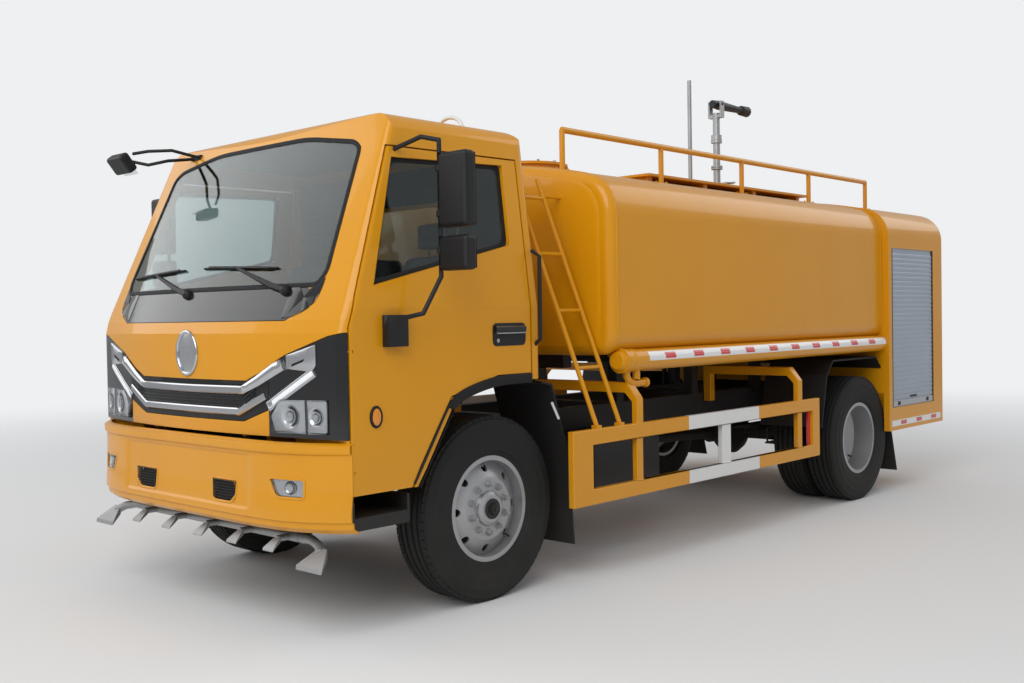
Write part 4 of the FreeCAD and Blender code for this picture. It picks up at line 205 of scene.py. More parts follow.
amber = (0.72, 0.305, 0.003)
white_stretch = (-0.60, 0.22, 0.84, (0.74, 0.74, 0.72))
finish("amber_paint", amber, 0.34, coat=0.38, bump=0.03, tint=0.12, dust=0.07, dust_top=1.0, shine=0.3)
finish("guard_paint", amber, 0.36, coat=0.38, bump=0.03, tint=0.12, dust=0.08, dust_top=1.0, shine=0.3,
       stripe=white_stretch)
finish("frame_black", (0.013, 0.013, 0.015), 0.50, bump=0.15, dust=0.12, dust_top=1.3, shine=0.35)
finish("cast_metal", (0.050, 0.050, 0.052), 0.62, metal=0.4, grain_scale=180, bump=0.5, dust=0.7)
finish("aluminium_tank", (0.52, 0.53, 0.54), 0.36, metal=0.9, stretch=(1, 0.04, 1), bump=0.2, dust=0.3)
finish("black_plastic", (0.012, 0.012, 0.013), 0.48, grain_scale=900, bump=0.3, dust=0.08, shine=0.4)
finish("shutter_grey", (0.40, 0.455, 0.53), 0.38, metal=0.35, stretch=(1, 0.05, 1), bump=0.12, tint=0.2)
finish("galvanised", (0.50, 0.51, 0.52), 0.44, metal=0.75, grain_scale=120, bump=0.25, tint=0.6)
finish("lamp_glass", (0.93, 0.95, 0.97), 0.04, clear=1.0, bump=0.0, tint=0.05, dust=0.03)
finish("black_rubber", (0.010, 0.010, 0.011), 0.62, grain_scale=600, bump=0.2, dust=0.10, shine=0.35)
finish("red_lens", (0.55, 0.010, 0.012), 0.12, coat=0.6, bump=0.03, dust=0.15)
finish("gloss_black", (0.010, 0.010, 0.011), 0.16, coat=0.4, bump=0.02, dust=0.06)
finish("window_glass", (0.42, 0.50, 0.50), 0.02, clear=1.0, bump=0.0, tint=0.05, dust=0.03)
finish("dark_trim", (0.045, 0.045, 0.048), 0.58, grain_scale=700, bump=0.4, dust=0.0)
finish("seat_fabric", (0.075, 0.078, 0.085), 0.85, grain_scale=900, bump=0.5, dust=0.0)
finish("chrome_trim", (0.58, 0.59, 0.61), 0.14, metal=1.0, bump=0.01, tint=0.2, dust=0.12)
finish("monitor_black", (0.030, 0.031, 0.033), 0.42, metal=0.3, bump=0.15)
finish("wheel_silver", (0.46, 0.47, 0.49), 0.33, metal=0.65, grain_scale=250, bump=0.10, dust=0.35)
finish("tyre_rubber", (0.011, 0.012, 0.013), 0.70, grain_scale=260, bump=0.35, dust=0.07, dust_top=1.2,
       shine=0.3)
finish("white_paint", (0.78, 0.78, 0.76), 0.40, coat=0.4, bump=0.05, tint=0.1, dust=0.3)
finish("tape_white", (0.80, 0.80, 0.79), 0.28, coat=0.7, grain_scale=500, bump=0.3, tint=0.08, dust=0.1)
finish("tape_red", (0.62, 0.02, 0.02), 0.28, coat=0.7, grain_scale=500, bump=0.3, tint=0.1, dust=0.1)
finish("lamp_silver", (0.50, 0.51, 0.53), 0.22, metal=0.9, bump=0.02, tint=0.2, dust=0.1)
finish("light_strip", (0.80, 0.83, 0.86), 0.20, glow=0.12, bump=0.02, tint=0.04, dust=0.0)
finish("mirror_face", (0.80, 0.82, 0.84), 0.03, metal=1.0, bump=0.005, tint=0.03, dust=0.0)
# dark_hole is painted shade: near-black laid where the shade inside slits, slots and openings falls
finish("dark_hole", (0.004, 0.004, 0.004), 0.80, bump=0.1, dust=0.2)
finish("amber_lens", (0.85, 0.28, 0.01), 0.14, coat=0.6, bump=0.03, dust=0.1)
for name, node in nodes.items():
    for place in node.material_slots:
        slot_name = place.material.name.split(".")[0]
        place.material = finishes["guard_paint" if name == "side_guards" else slot_name]
print("finishes", len(finishes))

# %% [markdown]
# Every added piece goes through the same last steps: its faces are turned outwards,
# it is shaded smooth with crisp edges, and where it asks for one it gets a Bevel
# modifier, because a real edge is never knife sharp and catches a thin highlight.
# The mesh is drawn where it belongs, so the object itself stays at the origin. Small
# shapes such as bars and boxes are drawn into one bmesh and become one piece, as a
# welded bracket is.


def mesh_of(bm, name="shape"):
    """Plain mesh of a drawn shape, its faces turned outwards."""
    bmesh.ops.recalc_face_normals(bm, faces=bm.faces)
    mesh = bpy.data.meshes.new(name)
    bm.to_mesh(mesh)
    bm.free()
    return mesh


def linked(name, data):
    """Object of the scene."""
    made = bpy.data.objects.new(name, data)
    bpy.context.scene.collection.objects.link(made)
    return made


def applied(holder):
    """Plain mesh of a helper object with its modifiers applied. The helper goes away."""
    seen = holder.evaluated_get(bpy.context.evaluated_depsgraph_get())
    mesh = bpy.data.meshes.new_from_object(seen)
    holder.modifiers.clear()
    bpy.data.objects.remove(holder)
    return mesh


def piece(name, drawn, finish_name, body, bevel=0.0, crisp=32.0):
    """Turn a bmesh or mesh into a finished piece that rides on a body."""
    mesh = mesh_of(drawn, name) if isinstance(drawn, bmesh.types.BMesh) else drawn
    mesh.shade_smooth()
    mesh.set_sharp_from_angle(angle=math.radians(crisp))
    made = linked(name, mesh)
    if not mesh.materials:
        mesh.materials.append(finishes[finish_name])
    if bevel:
        edge = made.modifiers.new("edge", "BEVEL")
        edge.width, edge.segments = bevel, 2 if bevel < 0.012 else 4
        edge.limit_method, edge.angle_limit = "ANGLE", math.radians(38)
        edge.use_clamp_overlap = edge.harden_normals = True
    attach(made, body)
    return made


def shape(*strokes):
    """bmesh of several strokes, each with how to draw it and what that needs."""
    bm = bmesh.new()
    for draw, *facts in strokes:
        draw(bm, *facts)
    return bm


def sided(sign, *points):
    """Points given for the left side, carried over to the right one for sign -1."""
    return [Vector((sign * x, y, z)) for x, y, z in points]


def turns(count):
    """Angles in even steps round a circle."""
    return [2 * math.pi * step / count for step in range(count)]


def skin(bm, rings, closed=False, capped=False):
    """Faces between rings of points, of which the first and last may be a single one."""
    for near, far in zip(rings, rings[1:] + (rings[:1] if closed else [])):
        for step in range(max(len(near), len(far))):
            corners = (near[(step - 1) % len(near)], near[step % len(near)],
                       far[step % len(far)], far[(step - 1) % len(far)])
            if len(near) > 1 or len(far) > 1:
                bm.faces.new(dict.fromkeys(corners))
    if capped:
        bm.faces.new(rings[0])
        bm.faces.new(rings[-1][::-1])


def box(bm, low, high, turn=None):
    """Box between two corners, turned about its middle."""
    low, high = Vector(low), Vector(high)
    size = Matrix.Diagonal([abs(reach) for reach in high - low] + [1.0])
    place = Matrix.Translation((low + high) / 2) @ (turn or Matrix.Identity(4)) @ size
    bmesh.ops.create_cube(bm, size=1.0, matrix=place)


def bar(bm, start, end, radius, count=16, thin=None):
    """Round bar between two points, tapered if thin is given."""
    start, end = Vector(start), Vector(end)
    turn = (end - start).to_track_quat("Z", "Y").to_matrix().to_4x4()
    bmesh.ops.create_cone(bm, cap_ends=True, segments=count, radius1=radius,
                          radius2=radius if thin is None else thin, depth=(end - start).length,
                          matrix=Matrix.Translation((start + end) / 2) @ turn)


def tube(bm, points, radius, count=12):
    """Round tube that follows a line of points."""
    points = [Vector(point) for point in points]
    rings, across = [], None
    for index, point in enumerate(points):
        way = (points[min(index + 1, len(points) - 1)] - points[max(index - 1, 0)]).normalized()
        if across is None:
            across = way.to_track_quat("Z", "Y").to_matrix() @ Vector((1, 0, 0))
        across = (across - way * across.dot(way)).normalized()
        up = across.cross(way)
        rings.append([bm.verts.new(point + radius * (across * math.cos(a) + up * math.sin(a)))
                      for a in turns(count)])
    skin(bm, rings, capped=True)


def turned(bm, profile, centre, axis, count):
    """Lathe a profile of (along, radius) pairs about an axis."""
    axis = Vector(axis).normalized()
    turn = axis.to_track_quat("Z", "Y").to_matrix()
    skin(bm, [[bm.verts.new(Vector(centre) + axis * along
                            + turn @ Vector((radius * math.cos(a), radius * math.sin(a), 0)))
               for a in turns(count if radius else 1)] for along, radius in profile])


def bead(bm, spots, count):
    """Closed round bead through spots, each a middle and its two half axes."""
    skin(bm, [[bm.verts.new(middle + across * math.cos(a) + up * math.sin(a)) for a in turns(count)]
              for middle, across, up in spots], closed=True)


def drum(length, radius):
    """Profile of a plain round drum."""
    return [(0, 0), (0, radius), (length, radius), (length, 0)]


def soft_outline(corners, radius, steps=5):
    """Closed flat outline with its corners rounded."""
    corners = [Vector(corner) for corner in corners]
    line = []
    for before, corner, after in zip(corners[-1:] + corners, corners, corners[1:] + corners[:1]):
        before, after = before - corner, after - corner
        reach = min(radius, before.length * 0.45, after.length * 0.45)
        first, last = corner + before.normalized() * reach, corner + after.normalized() * reach
        line += [first * (1 - t) ** 2 + corner * 2 * t * (1 - t) + last * t * t
                 for t in (step / steps for step in range(steps + 1))]
    return line


def fine_line(line, step=0.03, closed=True):
    """Line cut into short runs, so that it can follow a curved panel."""
    line = [Vector(point) for point in line]
    out = []
    for point, after in zip(line, line[1:] + (line[:1] if closed else [])):
        count = max(1, int((after - point).length / step))
        out += [point.lerp(after, part / count) for part in range(count)]
    return out if closed else out + [line[-1]]


print("helpers ready")

# %% [markdown]
# Many details lie on a curved panel: the rubber round the windscreen, the wiper's
# blade, the tape on the tank. Rather than guess where the panel is, a ray is cast
# on to the frame's own mesh, and the detail is laid on the point that it hits. What
# finds that point is called a look here. Three helpers lay things on one: a closed
# strip, a crowned band along an open line, and a plate inside an outline.

# %% Laying things on a panel
def panel(*names):
    """Function that finds the point and the normal where a ray meets these nodes."""
    bm = bmesh.new()
    for name in names:
        bm.from_mesh(nodes[name].data)
    tree = BVHTree.FromBMesh(bm)
    bm.free()
    return lambda origin, way: tree.ray_cast(Vector(origin), Vector(way).normalized())[:2]


def front_of(*names):
    """Look from ahead, by x and z."""
    find = panel(*names)
    return lambda x, z: find((x, -4.2, z), (0, 1, 0))


def side_of(sign, *names):
    """Look from the left for sign 1 or the right for -1, by y and z."""
    find = panel(*names)
    return lambda y, z: find((sign * 2.2, y, z), (-sign, 0, 0))


def strip_on(name, line, look, width, height, finish_name, body, inset=0.0):
    """Closed rubber strip that lies on a panel along an outline."""
    line = fine_line(line)
    middle = sum(line, Vector((0, 0))) / len(line)
    bm, rings = bmesh.new(), []
    for before, here, after in zip(line[-1:] + line, line, line[1:] + line[:1]):
        way = (after - before).normalized()
        out = Vector((way.y, -way.x))
        if out.dot(here - middle) < 0:
            out = -out
        point, normal = look(*(here - out * inset))
        if point is None:
            continue
        edge_in, _ = look(*(here - out * (inset + width / 2)))
        side = (point - edge_in).normalized() if edge_in is not None else Vector((0, 0, 1))
        rings.append([bm.verts.new(point + side * across * width + normal * up * height)
                      for across, up in ((-0.5, -0.4), (-0.5, 0.5), (-0.3, 1.0), (0.3, 1.0), (0.5, 0.5),
                                         (0.5, -0.4))])
    skin(bm, rings, closed=True)
    return piece(name, bm, finish_name, body, crisp=60)


def band(bm, look, line, height, sunk=0.003, step=0.03):
    """Crowned strip along (a, b, width) points on a panel."""
    line = fine_line(line, step, closed=False)
    rings = []
    for index, spot in enumerate(line):
        way = line[min(index + 1, len(line) - 1)] - line[max(index - 1, 0)]
        out = Vector((way.y, -way.x)).normalized()
        ring = []
        for across, up in ((-0.5, -sunk), (-0.5, height * 0.6), (-0.34, height), (0.34, height),
                           (0.5, height * 0.6), (0.5, -sunk)):
            point, normal = look(*(spot.xy + out * across * spot.z))
            if point is None:
                point, normal = look(*spot.xy)
            if point is not None:
                ring.append(point + normal * up)
        if len(ring) == 6:
            rings.append([bm.verts.new(point) for point in ring])
    skin(bm, rings, capped=True)


def plate(bm, look, outline, height, shrink):
    """Plate inside an outline on a panel."""
    line = fine_line(outline, 0.04)
    middle = sum(line, Vector((0, 0))) / len(line)
    rings = [[], [], []]
    for spot in line:
        point, normal = look(*spot)
        if point is None:
            continue
        close, close_normal = look(*(spot + (middle - spot).normalized() * max(shrink, 0.002)))
        if close is None:
            close, close_normal = point, normal
        for ring, place in zip(rings, (point - normal * 0.003, point + normal * height * 0.6,
                                       close + close_normal * height)):
            ring.append(bm.verts.new(place))
    centre, normal = look(*middle)
    skin(bm, rings + [[bm.verts.new(centre + normal * height)]])
    bm.faces.new(rings[0][::-1])


front_look = front_of("cab_shell", "front_panels", "screen_band", "cab_windows", "lamp_housings",
                      "grille")
print("windscreen foot", front_look(0.0, 1.62)[0])

# %% [markdown]
# Things that repeat are grown by Geometry Nodes. One tree sets a small shape round a
# ring, turned to face outwards, and serves wheel nuts, bolts and tread.
# Another sets it along a row, for slats, dashes and perforations. Their sizes are
# named inputs. The result is turned into a plain mesh at once, because the export
# drops instances, and the modifier goes away with the helper object.

# %% Geometry Nodes trees: a ring and a row
def growing_tree(name, inputs):
    """Geometry Nodes tree that repeats the incoming shape."""
    tree, given, end = new_group(
        name, "GeometryNodeTree", [("Geometry", "Geometry"), *inputs, ("Finish", "Material")],
        [("Geometry", "Geometry")])
    copies = add(tree, "GeometryNodeInstanceOnPoints", {"Instance": given["Geometry"]})
    real = add(tree, "GeometryNodeRealizeInstances", {"Geometry": copies.outputs["Instances"]})
    painted = add(tree, "GeometryNodeSetMaterial", {"Geometry": real.outputs["Geometry"],
                                                    "Material": given["Finish"]})
    feed(tree, end, {"Geometry": painted.outputs["Geometry"]})
    return tree, given, copies


ring_tree, given, copies = growing_tree(
    "ring_of_pieces", [("Count", "Int", 10), ("Radius", "Float", 0.1)])
circle = add(ring_tree, "GeometryNodeMeshCircle",
             {"Vertices": given["Count"], "Radius": given["Radius"]})
angle = math_of(ring_tree, "MULTIPLY", add(ring_tree, "GeometryNodeInputIndex").outputs[0],
               math_of(ring_tree, "DIVIDE", 2 * math.pi, given["Count"]))
facing = add(ring_tree, "ShaderNodeCombineXYZ", {"Z": angle})
feed(ring_tree, copies, {"Points": circle.outputs["Mesh"], "Rotation": facing.outputs[0]})

row_tree, given, copies = growing_tree("row_of_pieces", [
    ("Count", "Int", 10), ("Start", "Vector", (0, 0, 0)), ("Step", "Vector", (0, 0, 0.1))])
row_line = add(row_tree, "GeometryNodeMeshLine",
               {"Count": given["Count"], "Start Location": given["Start"], "Offset": given["Step"]})
feed(row_tree, copies, {"Points": row_line.outputs["Mesh"]})


def grown(tree, drawn, finish_name, **values):
    """Plain mesh that a tree grows from a small drawn shape."""
    holder = linked("holder", mesh_of(drawn))
    growth = holder.modifiers.new("growth", "NODES")
    growth.node_group = tree
    values["Finish"] = finishes[finish_name]
    for item in tree.interface.items_tree:
        if item.name in values:
            growth[item.identifier] = values[item.name]
    return applied(holder)


def row(drawn, count, start, step, finish_name):
    """Row of small shapes at even steps."""
    return grown(row_tree, drawn, finish_name, Count=count, Start=start, Step=step)


def wheel_ring(drawn, count, radius, centre, sign, finish_name):
    """Ring of small shapes about a wheel's axle, facing outwards along X."""
    mesh = grown(ring_tree, drawn, finish_name, Count=count, Radius=radius)
    mesh.transform(Matrix.Translation(centre) @ Matrix.Rotation(sign * math.pi / 2, 4, "Y"))
    return mesh


print("trees", ring_tree.name, row_tree.name)

# %% [markdown]
# A lorry tyre is a turned body with grooves round its tread, and square lugs across
# each shoulder. The body is lathed from one profile, with raised rings on its flank.
# The lugs are sixty-six small blocks grown round the ring, once at each shoulder. All
# of it stays inside the frame's tyre.

# %% Tyres
front_y, rear_y, axle_z = -2.150, 1.800, 0.472
tyre_flank = [(-0.083, 0.2545), (-0.092, 0.262), (-0.101, 0.285), (-0.104, 0.292), (-0.110, 0.296),
              (-0.111, 0.305), (-0.1165, 0.345), (-0.1178, 0.352), (-0.1178, 0.362), (-0.1168, 0.368),
              (-0.1150, 0.395), (-0.1160, 0.399), (-0.1160, 0.407), (-0.1130, 0.412), (-0.1080, 0.440),
              (-0.104, 0.452), (-0.096, 0.4585), (-0.088, 0.4605)]
groove_section = ((-0.0075, 0.4718), (-0.0045, 0.457), (0.0045, 0.457), (0.0075, 0.4718))
tyre_grooves = [(middle + across, radius) for middle in (-0.060, -0.022, 0.022, 0.060)
                for across, radius in groove_section]
tyre_profile = tyre_flank + tyre_grooves + [(-along, radius) for along, radius in tyre_flank[::-1]]
lug_count, lug_ring, shoulder = 66, 0.4605, 0.0845


def tyre(name, centre, body, node):
    """Turned tyre with its shoulder lugs."""
    rounds = piece(name, shape((turned, tyre_profile, centre, (1, 0, 0), 96)), "tyre_rubber", body,
                   crisp=28)
    for label, sign in (("in", -1), ("out", 1)):
        lug = shape((box, (-0.016, -0.0195, -0.0105), (0.0095, 0.0195, 0.0105),
                     Matrix.Rotation(sign * 0.10, 4, "Y")))
        middle = Vector(centre) + Vector((sign * shoulder, 0, 0))
        lugs = wheel_ring(lug, lug_count, lug_ring, middle, 1, "tyre_rubber")
        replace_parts(piece("%s_lugs_%s" % (name, label), lugs, "tyre_rubber", body), node)
    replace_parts(rounds, node)


for side, sign in sides:
    for label, x, y, body, node in (
            ("front_tyre_tread_", 0.917, front_y, "front_wheel_", "front_tyre_"),
            ("rear_tyre_tread_outer_", 1.035, rear_y, "rear_wheels_", "rear_tyres_"),
            ("rear_tyre_tread_inner_", 0.765, rear_y, "rear_wheels_", "rear_tyres_")):
        tyre(label + side, (sign * x, y, axle_z), body + side, node + side)
print("tyre profile points", len(tyre_profile))

# %% [markdown]
# The pressed steel wheels come from the frame. What is missing is what holds them:
# ten nuts with their studs on the disc, a valve, and the hub's own cap. The front hub
# carries a dark hexagonal oil cap, and the rear one a ring of half-shaft bolts. A ray
# finds how far out each disc's face stands.

# %% Wheel nuts, caps and valves
nut_ring, bolt_ring_radius, valve_offset = 0.124, 0.057, 0.16
nut = ((bar, (0, 0, -0.004), (0, 0, 0.004), 0.020, 16),
       (bar, (0, 0, 0.003), (0, 0, 0.022), 0.0165, 6, 0.0155),
       (bar, (0, 0, 0.020), (0, 0, 0.034), 0.0095, 10, 0.008))
for side, sign in sides:
    outwards = Vector((sign, 0, 0))
    for end, y, node in (("front", front_y, "front_rim_" + side), ("rear", rear_y, "rear_rims_" + side)):
        body, look = body_of[node], side_of(sign, node)
        face, hub = look(y, axle_z + nut_ring)[0], look(y, axle_z)[0]
        nuts = wheel_ring(shape(*nut), 10, nut_ring, (face.x, y, axle_z), sign, "wheel_silver")
        piece("%s_nuts_%s" % (end, side), nuts, "wheel_silver", body)
        if end == "front":
            cap = shape((turned, [(0, 0), (0, 0.052), (0.006, 0.052), (0.010, 0.046), (0.010, 0)], hub,
                         outwards, 32),
                        (bar, hub, hub + outwards * 0.030, 0.034, 6, 0.031),
                        (bar, hub, hub + outwards * 0.036, 0.014))
            piece("front_hub_cap_" + side, cap, "black_plastic", body, 0.0015)
        else:
            cap = shape((turned, [(0, 0), (0, 0.040), (0.012, 0.040), (0.016, 0.033), (0.016, 0)], hub,
                         outwards, 32))
            piece("rear_hub_cap_" + side, cap, "cast_metal", body, 0.0015)
            bolt = shape((bar, (0, 0, -0.004), (0, 0, 0.010), 0.0085, 6))
            bolts = wheel_ring(bolt, 8, bolt_ring_radius, hub, sign, "cast_metal")
            piece("half_shaft_bolts_" + side, bolts, "cast_metal", body)
        valve = Vector((face.x - sign * 0.01, y + valve_offset, axle_z - valve_offset))
        valve.x = (look(valve.y, valve.z)[0] or valve).x
        stem = [valve + Vector((sign * out, bent, -bent))
                for out, bent in ((0, 0), (0.012, 0.004), (0.024, 0.018))]
        piece("%s_valve_%s" % (end, side), shape((tube, stem, 0.0045, 10)), "black_rubber", body)
        print(end, side, "disc face x", round(face.x, 4), "hub x", round(hub.x, 4))

# %% [markdown]
# The windscreen is bonded behind a black rubber. Round the door's glass there is a
# slimmer one. Both are one closed strip with a rounded section, laid on the
# panel along the window's outline. The screen's outline is the frame's own, arched
# along the top, with its corners rounded.

# %% Rubber round the glass
screen_corners = [(-0.855, 1.600), (0.855, 1.600), (0.895, 1.665), (0.835, 2.265), (0.775, 2.305),
                  (0.400, 2.362), (-0.400, 2.362), (-0.775, 2.305), (-0.835, 2.265), (-0.895, 1.665)]
screen_line = soft_outline(screen_corners, 0.09)
strip_on("screen_rubber", screen_line, front_look, 0.024, 0.005, "black_rubber", "cab", inset=0.008)
door_line = soft_outline([(-2.942, 1.600), (-2.756, 2.205), (-2.000, 2.230), (-2.005, 1.815)], 0.06)
for side, sign in sides:
    look = side_of(sign, "door_" + side, "door_glass_" + side)
    strip_on("window_rubber_" + side, door_line, look, 0.030, 0.004, "black_rubber", "door_" + side,
             inset=0.006)
print("screen rubber length",
      round(sum((b - a).length for a, b in zip(screen_line, screen_line[1:])), 2), "m")

# %% [markdown]
# The nose of the cab is built from strips and plates that follow its bow. Between
# hood and chin it is a dark mouth: a black slit of painted shade where the gap lies, a chrome
# bar that rises to both sides, dark slats, and a second chrome bar. The lamp block beside
# it has a silver daylight unit with a near-black slot of painted shade, a bright light
# strip on its slant, and two lenses. The oval on the hood is a plain ring round a smooth disc.

# %% Grille bars, lamps and the plain oval
def front_band(name, line, height, finish_name):
    """Strip across the whole nose, from its left half."""
    whole = [(-x, z, width) for x, z, width in reversed(line)] + line
    return piece(name, shape((band, front_look, whole, height)), finish_name, "cab", crisp=40)


def front_plates(name, outline, height, finish_name, shrink=0.0):
    """Plate on each side of the nose."""
    both = [(plate, front_look, [(sign * x, z) for x, z in outline], height, shrink)
            for _, sign in sides]
    return piece(name, shape(*both), finish_name, "cab", crisp=40)


# The hood slit is a near-black band on the panel: painted shade where the gap between hood and grille is
front_band("hood_slit", [(0.05, 1.157, 0.022), (0.470, 1.158, 0.022), (0.580, 1.198, 0.024),
                         (0.722, 1.272, 0.024)], 0.002, "dark_hole")
front_band("upper_chrome_bar", [(0.05, 1.122, 0.038), (0.452, 1.124, 0.038), (0.560, 1.168, 0.048),
                                (0.728, 1.250, 0.060)], 0.014, "chrome_trim")
for index, height in enumerate((1.096, 1.080, 1.064, 1.048)):
    front_band("grille_slat_%d" % index, [(0.05, height, 0.007), (0.450 + 0.008 * index, height, 0.007),
                                          (0.540, height + 0.050, 0.007)], 0.005, "gloss_black")
lower_bar = [(0.05, 1.021, 0.036), (0.430, 1.021, 0.036), (0.615, 1.104, 0.036)]
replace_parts(front_band("lower_chrome_bar", lower_bar, 0.013, "chrome_trim"), "chrome_bars")
front_plates("daylight_block", [(0.752, 1.228), (0.752, 1.289), (0.930, 1.338), (0.930, 1.244),
                                (0.905, 1.214), (0.860, 1.220)], 0.010, "lamp_silver", 0.008)
# The daylight slot is a near-black plate: painted shade in the recess of the daylight unit
front_plates("daylight_slot", [(0.790, 1.238), (0.792, 1.250), (0.868, 1.274), (0.862, 1.262)], 0.0125,
             "dark_hole")
front_plates("lens_well_inner", [(0.677, 0.942), (0.655, 1.010), (0.705, 1.080), (0.862, 1.085),
                                 (0.865, 0.940)], 0.004, "lamp_silver", 0.012)
front_plates("lens_well_outer", [(0.880, 0.940), (0.877, 1.085), (0.986, 1.085), (0.986, 0.945)], 0.004,
             "lamp_silver", 0.010)
for side, sign in sides:
    for name, finish_name, near_x, near_z, far_x, far_z, width, height in (
            ("light_strip_bed_", "lamp_silver", 0.628, 1.050, 0.916, 1.214, 0.046, 0.006),
            ("light_strip_", "light_strip", 0.634, 1.054, 0.912, 1.212, 0.026, 0.0095)):
        line = [(sign * near_x, near_z, width), (sign * far_x, far_z, width)]
        piece(name + side, shape((band, front_look, line, height)), finish_name, "cab")
    bowls, bulbs = bmesh.new(), bmesh.new()
    for x, z, radius in ((0.775, 1.012, 0.052), (0.930, 1.012, 0.040)):
        spot, normal = front_look(sign * x, z)
        turned(bowls, [(0.001, 0), (0.002, radius * 0.5), (0.006, radius * 0.8), (0.0105, radius),
                       (0.0105, radius * 1.08), (0.002, radius * 1.1)], spot, normal, 40)
        turned(bulbs, [(0.001, radius * 0.55), (0.006, radius * 0.5), (0.0095, radius * 0.3),
                       (0.0105, 0)], spot, normal, 32)
    piece("lamp_bowls_" + side, bowls, "chrome_trim", "cab", crisp=60)
    piece("lamp_bulbs_" + side, bulbs, "lamp_glass", "cab", crisp=60)
    levels = [0.955 + 0.024 * rib for rib in range(6)]
    ribs = [(band, front_look, [(sign * x, z, 0.004) for x in (0.892, 0.974)], 0.0065)
            for z in levels]
    piece("lens_ribs_" + side, shape(*ribs), "lamp_silver", "cab")
cover_line = [(0.660, 0.936), (0.645, 1.010), (0.700, 1.088), (0.990, 1.090), (0.990, 0.936)]
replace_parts(front_plates("lamp_covers", cover_line, 0.0145, "lamp_glass", 0.006), "headlamp_lenses")
front_plates("cowl_corners", [(0.700, 1.456), (0.770, 1.464), (0.815, 1.482), (0.851, 1.503),
                              (0.877, 1.530), (0.889, 1.565), (0.893, 1.600), (0.893, 1.640),
                              (0.800, 1.606), (0.700, 1.600)], 0.003, "gloss_black", 0.006)

spot, _ = front_look(0.0, 1.294)
oval_spots = []
for a in turns(48):
    radial = Vector((math.cos(a) * 0.088, 0, math.sin(a) * 0.104))
    here, normal = front_look(spot.x + radial.x, spot.z + radial.z)
    oval_spots.append((here + normal * 0.002, radial.normalized() * 0.011, normal * 0.009))
piece("plain_oval_ring", shape((bead, oval_spots, 10)), "chrome_trim", "cab", crisp=70)
oval = [(0.082 * math.cos(a), 1.294 + 0.098 * math.sin(a)) for a in turns(36)]
piece("plain_oval_disc", shape((plate, front_look, oval, 0.003, 0.01)), "lamp_silver", "cab", crisp=40)
print("nose pieces placed; oval at", spot)

# %% [markdown]
# Two wipers rest along the foot of the windscreen. Each is an arm from a capped
# spindle, a slim carrier, and a rubber blade that touches the glass. They are
# strips again, laid on the glass with a little more height, so they follow its bow.

# %% Wipers
arms, blades, caps = bmesh.new(), bmesh.new(), bmesh.new()
for pivot, knee, near, far in (((-0.115, 1.585), (-0.52, 1.690), (-0.825, 1.688), (-0.235, 1.712)),
                               ((0.667, 1.585), (0.265, 1.700), (-0.045, 1.714), (0.560, 1.694))):
    band(arms, front_look, [(*pivot, 0.030), ((pivot[0] * 3 + knee[0]) / 4, pivot[1] + 0.022, 0.026),
                            (*knee, 0.014)], 0.024, -0.012)
    carrier = [(near[0] + 0.05, near[1] + 0.003, 0.012), (far[0] - 0.05, far[1] + 0.001, 0.012)]
    band(arms, front_look, carrier, 0.017, -0.010)
    band(blades, front_look, [(*near, 0.009), (*far, 0.009)], 0.012, 0.001)
    spindle, normal = front_look(*pivot)
    turned(caps, [(-0.004, 0.026), (0.012, 0.026), (0.022, 0.020), (0.030, 0.012), (0.032, 0)],
           spindle, normal, 24)
piece("wiper_arms", arms, "black_plastic", "cab")
piece("wiper_blades", blades, "black_rubber", "cab")
piece("wiper_spindles", caps, "black_plastic", "cab")
print("wipers on the glass")

# %% [markdown]
# The bumper is a moulded skin whose shape follows a rule: in plan it is nearly flat
# and then turns in hard at its ends, and from top to bottom it has a lip, a crease, a
# sunken middle field and a second crease. A grid whose depth comes from that rule
# draws it better than any box. It is given a wall, and the intakes and fog lamps
# are cut out with a Boolean modifier, which is applied at once.

# %% Bumper skin
bumper_wide, bumper_face, bumper_turn, bumper_wall = 1.090, -3.2995, 0.188, 0.012
column_count, level_count = 160, 60
intake = [(0.262, 0.698), (0.262, 0.612), (0.282, 0.600), (0.415, 0.600), (0.456, 0.638), (0.446, 0.682),
          (0.430, 0.698)]
fog = [(0.705, 0.735), (0.738, 0.664), (0.765, 0.654), (0.898, 0.654), (0.898, 0.735)]


def eased(value, low, high):
    """Smooth step from 0 at low to 1 at high."""
    t = min(max((value - low) / (high - low), 0.0), 1.0)
    return t * t * (3 - 2 * t)


def bumper_point(x, z):
    """Point on the bumper's outer skin."""
    y = bumper_face + bumper_turn * (abs(x) / bumper_wide) ** 5.4
    y += 0.030 * eased(z, 0.888, 0.901) + 0.013 * (1 - eased(z, 0.845, 0.856))
    y -= 0.010 * (1 - eased(z, 0.575, 0.700))
    y += 0.011 * (1 - eased(z, 0.540, 0.549)) + 0.030 * (1 - eased(z, 0.494, 0.520))
    field = (1 - eased(abs(x), 0.545, 0.575)) * eased(z, 0.578, 0.588) * (1 - eased(z, 0.826, 0.836))
    return Vector((x, y + 0.007 * field, z))


def bumper_wall_point(x, z):
    """Point on the bumper's inner skin."""
    inwards = -math.copysign(0.008 * abs(x / bumper_wide) ** 8, x)
    return bumper_point(x, z) + Vector((inwards, bumper_wall, 0))


def bumper_outline(sign, outline):
    """Rounded outline of an opening on one side."""
    return soft_outline([(sign * x, z) for x, z in outline], 0.012, 3)


